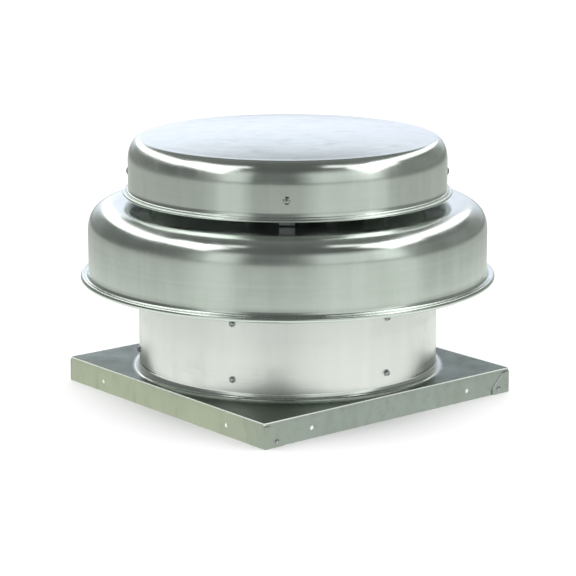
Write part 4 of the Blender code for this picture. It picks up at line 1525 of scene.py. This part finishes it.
@dataclass
class Conduit:
    """Corrugated flexible conduit between the switch box and the motor."""

    dresser: Dresser
    radius: float = 6 * MM
    rib: float = 0.9 * MM
    pitch: float = 4 * MM
    arch: float = 16 * MM
    switch_turn: float = 96.0
    switch_height: float = 64 * MM
    outlet_share: float = 0.7
    switch_setback: float = 74 * MM
    switch_depth: float = 55 * MM
    steps: int = 140

    def build(self) -> None:
        """Sweeps the ribbed tube along its arch."""
        start = CAP_WALL - self.switch_setback - self.switch_depth - GAP
        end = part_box("motor_shell")[1].x + GAP
        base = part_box("shroud")[1].z + GAP + self.switch_height * self.outlet_share
        heading = around(1.0, self.switch_turn, 0.0)
        side = Vector((-heading.y, heading.x, 0.0))
        line = []
        for step in range(self.steps + 1):
            share = step / self.steps
            along = min(max((share - 0.1) / 0.8, 0.0), 1.0)
            rise = self.arch * math.sin(math.pi * along) ** 2
            line.append(heading * (start + (end - start) * share) + Vector((0, 0, base + rise)))
        shape = bmesh.new()
        rings = []
        travelled = 0.0
        for index, point in enumerate(line):
            before, after = line[max(index - 1, 0)], line[min(index + 1, self.steps)]
            travelled += (point - before).length
            forward = (after - before).normalized()
            up = side.cross(forward)
            wave = 0.5 + 0.5 * math.cos(math.tau * travelled / self.pitch)
            reach = self.radius - self.rib * wave
            turns = [math.tau * facet / SMALL_ROUND for facet in range(SMALL_ROUND)]
            rings.append([
                shape.verts.new(point + side * reach * math.cos(t) + up * reach * math.sin(t)) for t in turns
            ])
        skin_tube(shape, rings)
        piece = new_object("ribbed_conduit", finish_mesh("ribbed_conduit", shape, 60))
        self.dresser.place(piece, self.dresser.palette.galvanised, Body.HOUSING, ["motor_conduit"])


@dataclass
class Wheel:
    """The centrifugal wheel: inlet ring, back plate and blades, with the venturi below it."""

    dresser: Dresser
    sheet: float = 2 * MM
    ring_eye: float = 134.5 * MM
    ring_bend: float = 14 * MM
    ring_lip: float = 8.3 * MM
    hub_bore: float = 22.3 * MM
    edge: float = 0.4 * MM
    venturi_eye: float = 131 * MM
    venturi_mouth: float = 32 * MM
    skirt_bend: float = 4 * MM
    blades: int = 8

    def build(self) -> None:
        """Builds the turned pieces and dresses the blades."""
        self.venturi()
        low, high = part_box("wheel_inlet_ring")
        face = [(self.ring_eye, low.z)]
        face += arc((self.ring_eye + self.ring_bend, low.z + self.ring_lip), self.ring_bend, 180, 110, 14)
        face += [(high.x, high.z)]
        self.turned("wheel_ring", thicken(face, self.sheet), Body.ROTOR, "wheel_inlet_ring")
        low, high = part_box("wheel_back_plate")
        disc = [(self.hub_bore, high.z), (high.x - self.edge, high.z), (high.x, high.z - self.edge)]
        disc += [(high.x, low.z + self.edge), (high.x - self.edge, low.z), (self.hub_bore, low.z)]
        self.turned("wheel_disc", disc, Body.ROTOR, "wheel_back_plate")
        for index in range(self.blades):
            self.dresser.keep(f"wheel_blade_{index + 1}", self.dresser.palette.rolled, 0.5 * MM)

    def venturi(self) -> None:
        """The bell mouth in the throat's top."""
        low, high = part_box("inlet_venturi")
        mouth, bend = self.venturi_mouth, self.skirt_bend
        plate = high.z - mouth
        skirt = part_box("throat_cylinder")[1].x - SHEET - GAP
        face = arc((self.venturi_eye + mouth, high.z), mouth, 180, 270, 20)
        face += arc((skirt - bend, plate - bend), bend, 90, 0, 6) + [(skirt, low.z)]
        self.turned("venturi_plate", thicken(face, SHEET), Body.HOUSING, "inlet_venturi")

    def turned(self, name: str, section: Section, body: Body, node: str) -> None:
        """Turns one spun aluminium piece; its arguments are those of Dresser.turned."""
        self.dresser.turned(name, section, ROUND // 2, self.dresser.palette.spun, body, node)


@dataclass
class KeptNodes:
    """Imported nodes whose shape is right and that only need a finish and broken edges."""

    dresser: Dresser

    def build(self) -> None:
        """Dresses them."""
        palette = self.dresser.palette
        for name in ("motor_plate", "shroud_strut_1", "shroud_strut_2", "shroud_strut_3", "disconnect_box"):
            self.dresser.keep(name, palette.galvanised, 0.4 * MM)
        self.dresser.keep("disconnect_cover", palette.galvanised, 0.3 * MM)
        self.dresser.keep("disconnect_toggle", palette.plastic, 0.8 * MM)
        for name in ("stator_core", "rotor_core", "wheel_hub"):
            self.dresser.keep(name, palette.core, 0.4 * MM)
        for name in ("motor_shaft", "bearing_lower", "bearing_upper"):
            self.dresser.keep(name, palette.bright, 0.3 * MM)
        self.dresser.keep("hub_set_screw", palette.zinc, 0.2 * MM)


# Studio


@dataclass(frozen=True)
class Strip:
    """A soft strip light between two points, turned to face the fan.

    Its points are (right, forward, up) as seen from the camera, with forward towards it.
    """

    name: str
    start: Spot
    end: Spot
    width: float
    glow: float

    def build(self, camera_turn: float) -> None:
        """Hangs the light.

        Args:
            camera_turn: the camera's direction about the fan in degrees.
        """
        data = bpy.data.lights.new(self.name, "AREA")
        data.shape = "RECTANGLE"
        first, last = (Vector((point[0], -point[1], point[2])) for point in (self.start, self.end))
        length = (last - first).length
        data.size, data.size_y = self.width, length
        data.energy = self.glow * math.pi * self.width * length
        item = new_object(self.name, data)
        item.visible_camera = False
        along = (last - first).normalized()
        nearest = first + along * max(min(-first.dot(along), length), 0.0)
        away = nearest - Vector((0, 0, 0.35))
        back = (away - along * away.dot(along)).normalized()
        axes = Matrix((along.cross(back), along, back)).transposed()
        turn = Matrix.Rotation(math.radians(camera_turn), 4, "Z")
        item.matrix_world = turn @ Matrix.Translation((first + last) / 2) @ axes.to_4x4()


@dataclass
class Sky:
    """What the studio's walls and ceiling look like to bare metal, and an even white for everything else."""

    camera_turn: float
    walls: tuple[tuple[float, float], ...] = (
        (-180, 1.0), (-170, 1.0), (-160, 0.55), (-150, 0.3), (-125, 0.17), (-75, 0.12), (-60, 0.2),
        (-49, 0.5), (-43, 0.85), (-30, 0.68), (-23, 0.15), (5, 0.17), (13, 0.4), (20, 0.68), (48, 0.7),
        (58, 1.0), (66, 0.95), (74, 0.3), (95, 0.2), (115, 0.26), (135, 0.24), (150, 0.32),
        (162, 0.62), (172, 0.85), (180, 1.0),
    )
    ceiling_front: float = 0.1
    ceiling_back: float = 0.17
    even_light: float = 1.3

    def build(self) -> None:
        """Builds the sky's shader."""
        world = bpy.data.worlds.new("studio")
        bpy.context.scene.world = world
        world.use_nodes = True
        graph = Graph(world.node_tree)
        backdrop = graph.tree.nodes["Background"]
        path = graph.add("LightPath", {}).outputs
        split = graph.add("SeparateXYZ", {0: graph.add("TexCoord", {}).outputs["Generated"]}).outputs
        walls, front = self.walls_round(graph, split)
        rise = graph.maths("DEGREES", graph.maths("ARCSINE", split[2]))
        towards = graph.spread(front, -0.6, 0.3, 0.0, 1.0)
        edge = graph.maths("ADD", graph.maths("MULTIPLY", towards, 13.0), 21.0)
        above = graph.maths("SUBTRACT", rise, edge)
        soft = graph.maths("ADD", graph.maths("MULTIPLY", towards, 6.0), 4.0)
        share = graph.spread(graph.maths("DIVIDE", above, soft), -1.0, 1.0, 0.0, 1.0)
        ceiling = graph.maths("MULTIPLY", towards, self.ceiling_front - self.ceiling_back)
        ceiling = graph.maths("ADD", ceiling, self.ceiling_back)
        lifted = graph.maths("MULTIPLY", graph.maths("SUBTRACT", ceiling, walls), share)
        room = graph.maths("ADD", walls, lifted)
        even = graph.maths("MULTIPLY", graph.maths("SUBTRACT", 1.0, path["Is Glossy Ray"]), self.even_light)
        seen = graph.maths("MULTIPLY", room, path["Is Glossy Ray"])
        graph.feed(backdrop.inputs["Strength"], graph.maths("ADD", even, seen))
        cool = graph.maths("MULTIPLY", path["Is Glossy Ray"], graph.spread(front, -0.98, -0.85, 1.0, 0.0))
        room_tint = graph.tint(path["Is Glossy Ray"], (1.0, 1.0, 1.0), (0.96, 1.0, 0.965))
        tint = graph.tint(cool, room_tint, (1.07, 1.12, 1.28))
        graph.feed(backdrop.inputs["Color"], tint)

    def walls_round(self, graph: Graph, split: Sequence[Socket]) -> tuple[Socket, ...]:
        """The walls' brightness in a direction.

        Args:
            graph: the graph to add to.
            split: the direction's X, Y and Z.

        Returns:
            The brightness's socket and the direction's share towards the camera.
        """
        turn = math.radians(self.camera_turn)
        front = self.mixed(graph, split, math.sin(turn), -math.cos(turn))
        right = self.mixed(graph, split, math.cos(turn), math.sin(turn))
        heading = graph.maths("DEGREES", graph.maths("ARCTAN2", right, front))
        return self.ramp(graph, heading), front

    def mixed(self, graph: Graph, split: Sequence[Socket], x: float, y: float) -> Socket:
        """The ray's share along a level direction.

        Args:
            graph: the sky's graph.
            split: the ray's X, Y and Z.
            x: the direction's X.
            y: the direction's Y.

        Returns:
            The share's socket.
        """
        return graph.weigh(split[0], x, split[1], y)

    def ramp(self, graph: Graph, heading: Socket) -> Socket:
        """The walls' brightness by direction.

        Args:
            graph: the sky's graph.
            heading: the ray's direction from the camera's side, in degrees.

        Returns:
            The brightness's socket.
        """
        share = graph.maths("ADD", graph.maths("DIVIDE", heading, 360.0), 0.5)
        node = graph.add("ValToRGB", {"Fac": share})
        stops = node.color_ramp.elements
        for index, (angle, glow) in enumerate(self.walls):
            place = angle / 360 + 0.5
            stop = stops[0] if index == 0 else stops[-1] if index == len(self.walls) - 1 else stops.new(place)
            stop.position = place
            stop.color = (glow, glow, glow, 1.0)
        return node.outputs["Color"]


@dataclass
class Studio:
    """Pale floor, six strip lights, the sky and the camera."""

    focal_length: float = 139.67
    sensor: float = 36.0
    azimuth: float = 50.54
    elevation: float = 12.99
    distance: float = 3.98227
    side_step: float = 0.66 * MM
    target_height: float = 179.76 * MM
    shaded: float = 0.27  # half the side of the floor's square under the cap
    bounced: float = 0.7  # the glow of that square
    strips: tuple[Strip, ...] = (
        Strip("left_bank", (-0.66, 0.2, 0.76), (-0.66, -2.2, 0.80), 0.22, 1.5),
        Strip("left_near", (-0.42, 0.58, 0.72), (-0.62, 0.15, 0.82), 0.28, 1.5),
        Strip("left_arch", (-0.6, 0.33, 0.71), (-0.2, 0.43, 0.78), 0.1, 1.2),
        Strip("right_bank", (0.80, 0.25, 1.05), (0.80, -2.2, 1.05), 0.28, 1.5),
        Strip("right_near", (0.5, 0.5, 0.70), (0.68, 0.15, 0.90), 0.32, 1.5),
        Strip("right_arch", (0.7, 0.3, 0.78), (0.2, 0.42, 0.82), 0.12, 1.2),
    )

    def build(self) -> None:
        """Builds the camera, the floor, the sky and the lights."""
        self.camera()
        sky = Sky(self.azimuth)
        sky.build()
        self.floor(sky)
        for strip in self.strips:
            strip.build(self.azimuth)
        bpy.context.scene.view_settings.view_transform = "Standard"

    def camera(self) -> None:
        """Places the camera."""
        data = bpy.data.cameras.new("camera")
        data.lens = self.focal_length
        data.sensor_width = self.sensor
        data.clip_end = 100.0
        item = new_object("camera", data)
        turn, rise = math.radians(self.azimuth), math.radians(self.elevation)
        back = Vector((math.sin(turn) * math.cos(rise), -math.cos(turn) * math.cos(rise), math.sin(rise)))
        aside = Vector((math.cos(turn), math.sin(turn), 0)) * self.side_step
        target = aside + Vector((0, 0, self.target_height))
        item.location = target + back * self.distance
        item.rotation_mode = "QUATERNION"
        item.rotation_quaternion = (-back).to_track_quat("-Z", "Y")
        bpy.context.scene.camera = item

    def floor(self, sky: Sky) -> None:
        """A wide pale floor, which the metal sees darker away from the fan, with bounced light under the cap.

        Args:
            sky: the sky, whose walls colour the floor's far part.
        """
        shape = bmesh.new()
        bmesh.ops.create_grid(shape, x_segments=8, y_segments=8, size=30.0)
        mesh = bpy.data.meshes.new("floor")
        shape.to_mesh(mesh)
        shape.free()
        item = new_object("floor", mesh)
        item.location.z = -0.2 * MM
        graph = MaterialGraph("floor_paper")
        place = graph.coordinates()
        cloud = graph.cloud(place, 1.5, 4.0, 0.5)
        pale = graph.tint(cloud, (0.9, 0.9, 0.9), (0.93, 0.93, 0.93))
        mirrored = graph.add("LightPath", {}).outputs["Is Glossy Ray"]
        graph.feed(graph.shader.inputs["Base Color"], graph.tint(mirrored, pale, (0.0, 0.0, 0.0)))
        away = graph.add("VectorMath", {0: place}, operation="LENGTH").outputs["Value"]
        near = graph.spread(away, 0.55, 1.6, 0.97, 0.57)
        near = graph.maths("MULTIPLY", near, graph.spread(away, 2.0, 6.0, 1.0, 0.5))
        split = graph.add("SeparateXYZ", {0: place}).outputs
        walls = sky.walls_round(graph, split)[0]
        bars = graph.spread(walls, 0.1, 0.9, -0.1, 0.16)
        seen = graph.maths("ADD", near, graph.maths("MULTIPLY", bars, graph.spread(away, 0.9, 1.7, 0.0, 1.0)))
        inside = graph.maths("LESS_THAN", graph.reach(split), self.shaded)
        under = graph.maths("MULTIPLY", inside, self.bounced)
        glow = graph.maths("MAXIMUM", graph.maths("MULTIPLY", mirrored, seen), under)
        graph.feed(graph.shader.inputs["Emission Strength"], glow)
        graph.shader.inputs["Emission Color"].default_value = (0.96, 1.0, 0.95, 1.0)
        graph.shader.inputs["Roughness"].default_value = 0.9
        graph.shader.inputs["Specular IOR Level"].default_value = 0.0
        mesh.materials.append(graph.material)


def main() -> None:
    """Builds the fan's pieces in order, then the studio."""
    logging.basicConfig(level=logging.INFO, format="%(name)s: %(message)s")
    dresser = Dresser()
    for assembly in (
        CurbCap(dresser), Throat(dresser), HexScrews(dresser), CornerRivets(dresser), Shroud(dresser),
        MotorCover(dresser), CapScrews(dresser), CapBrackets(dresser), Wheel(dresser), Motor(dresser),
        Conduit(dresser), KeptNodes(dresser),
    ):
        assembly.build()
    Studio().build()


if __name__ == "__main__":
    main()
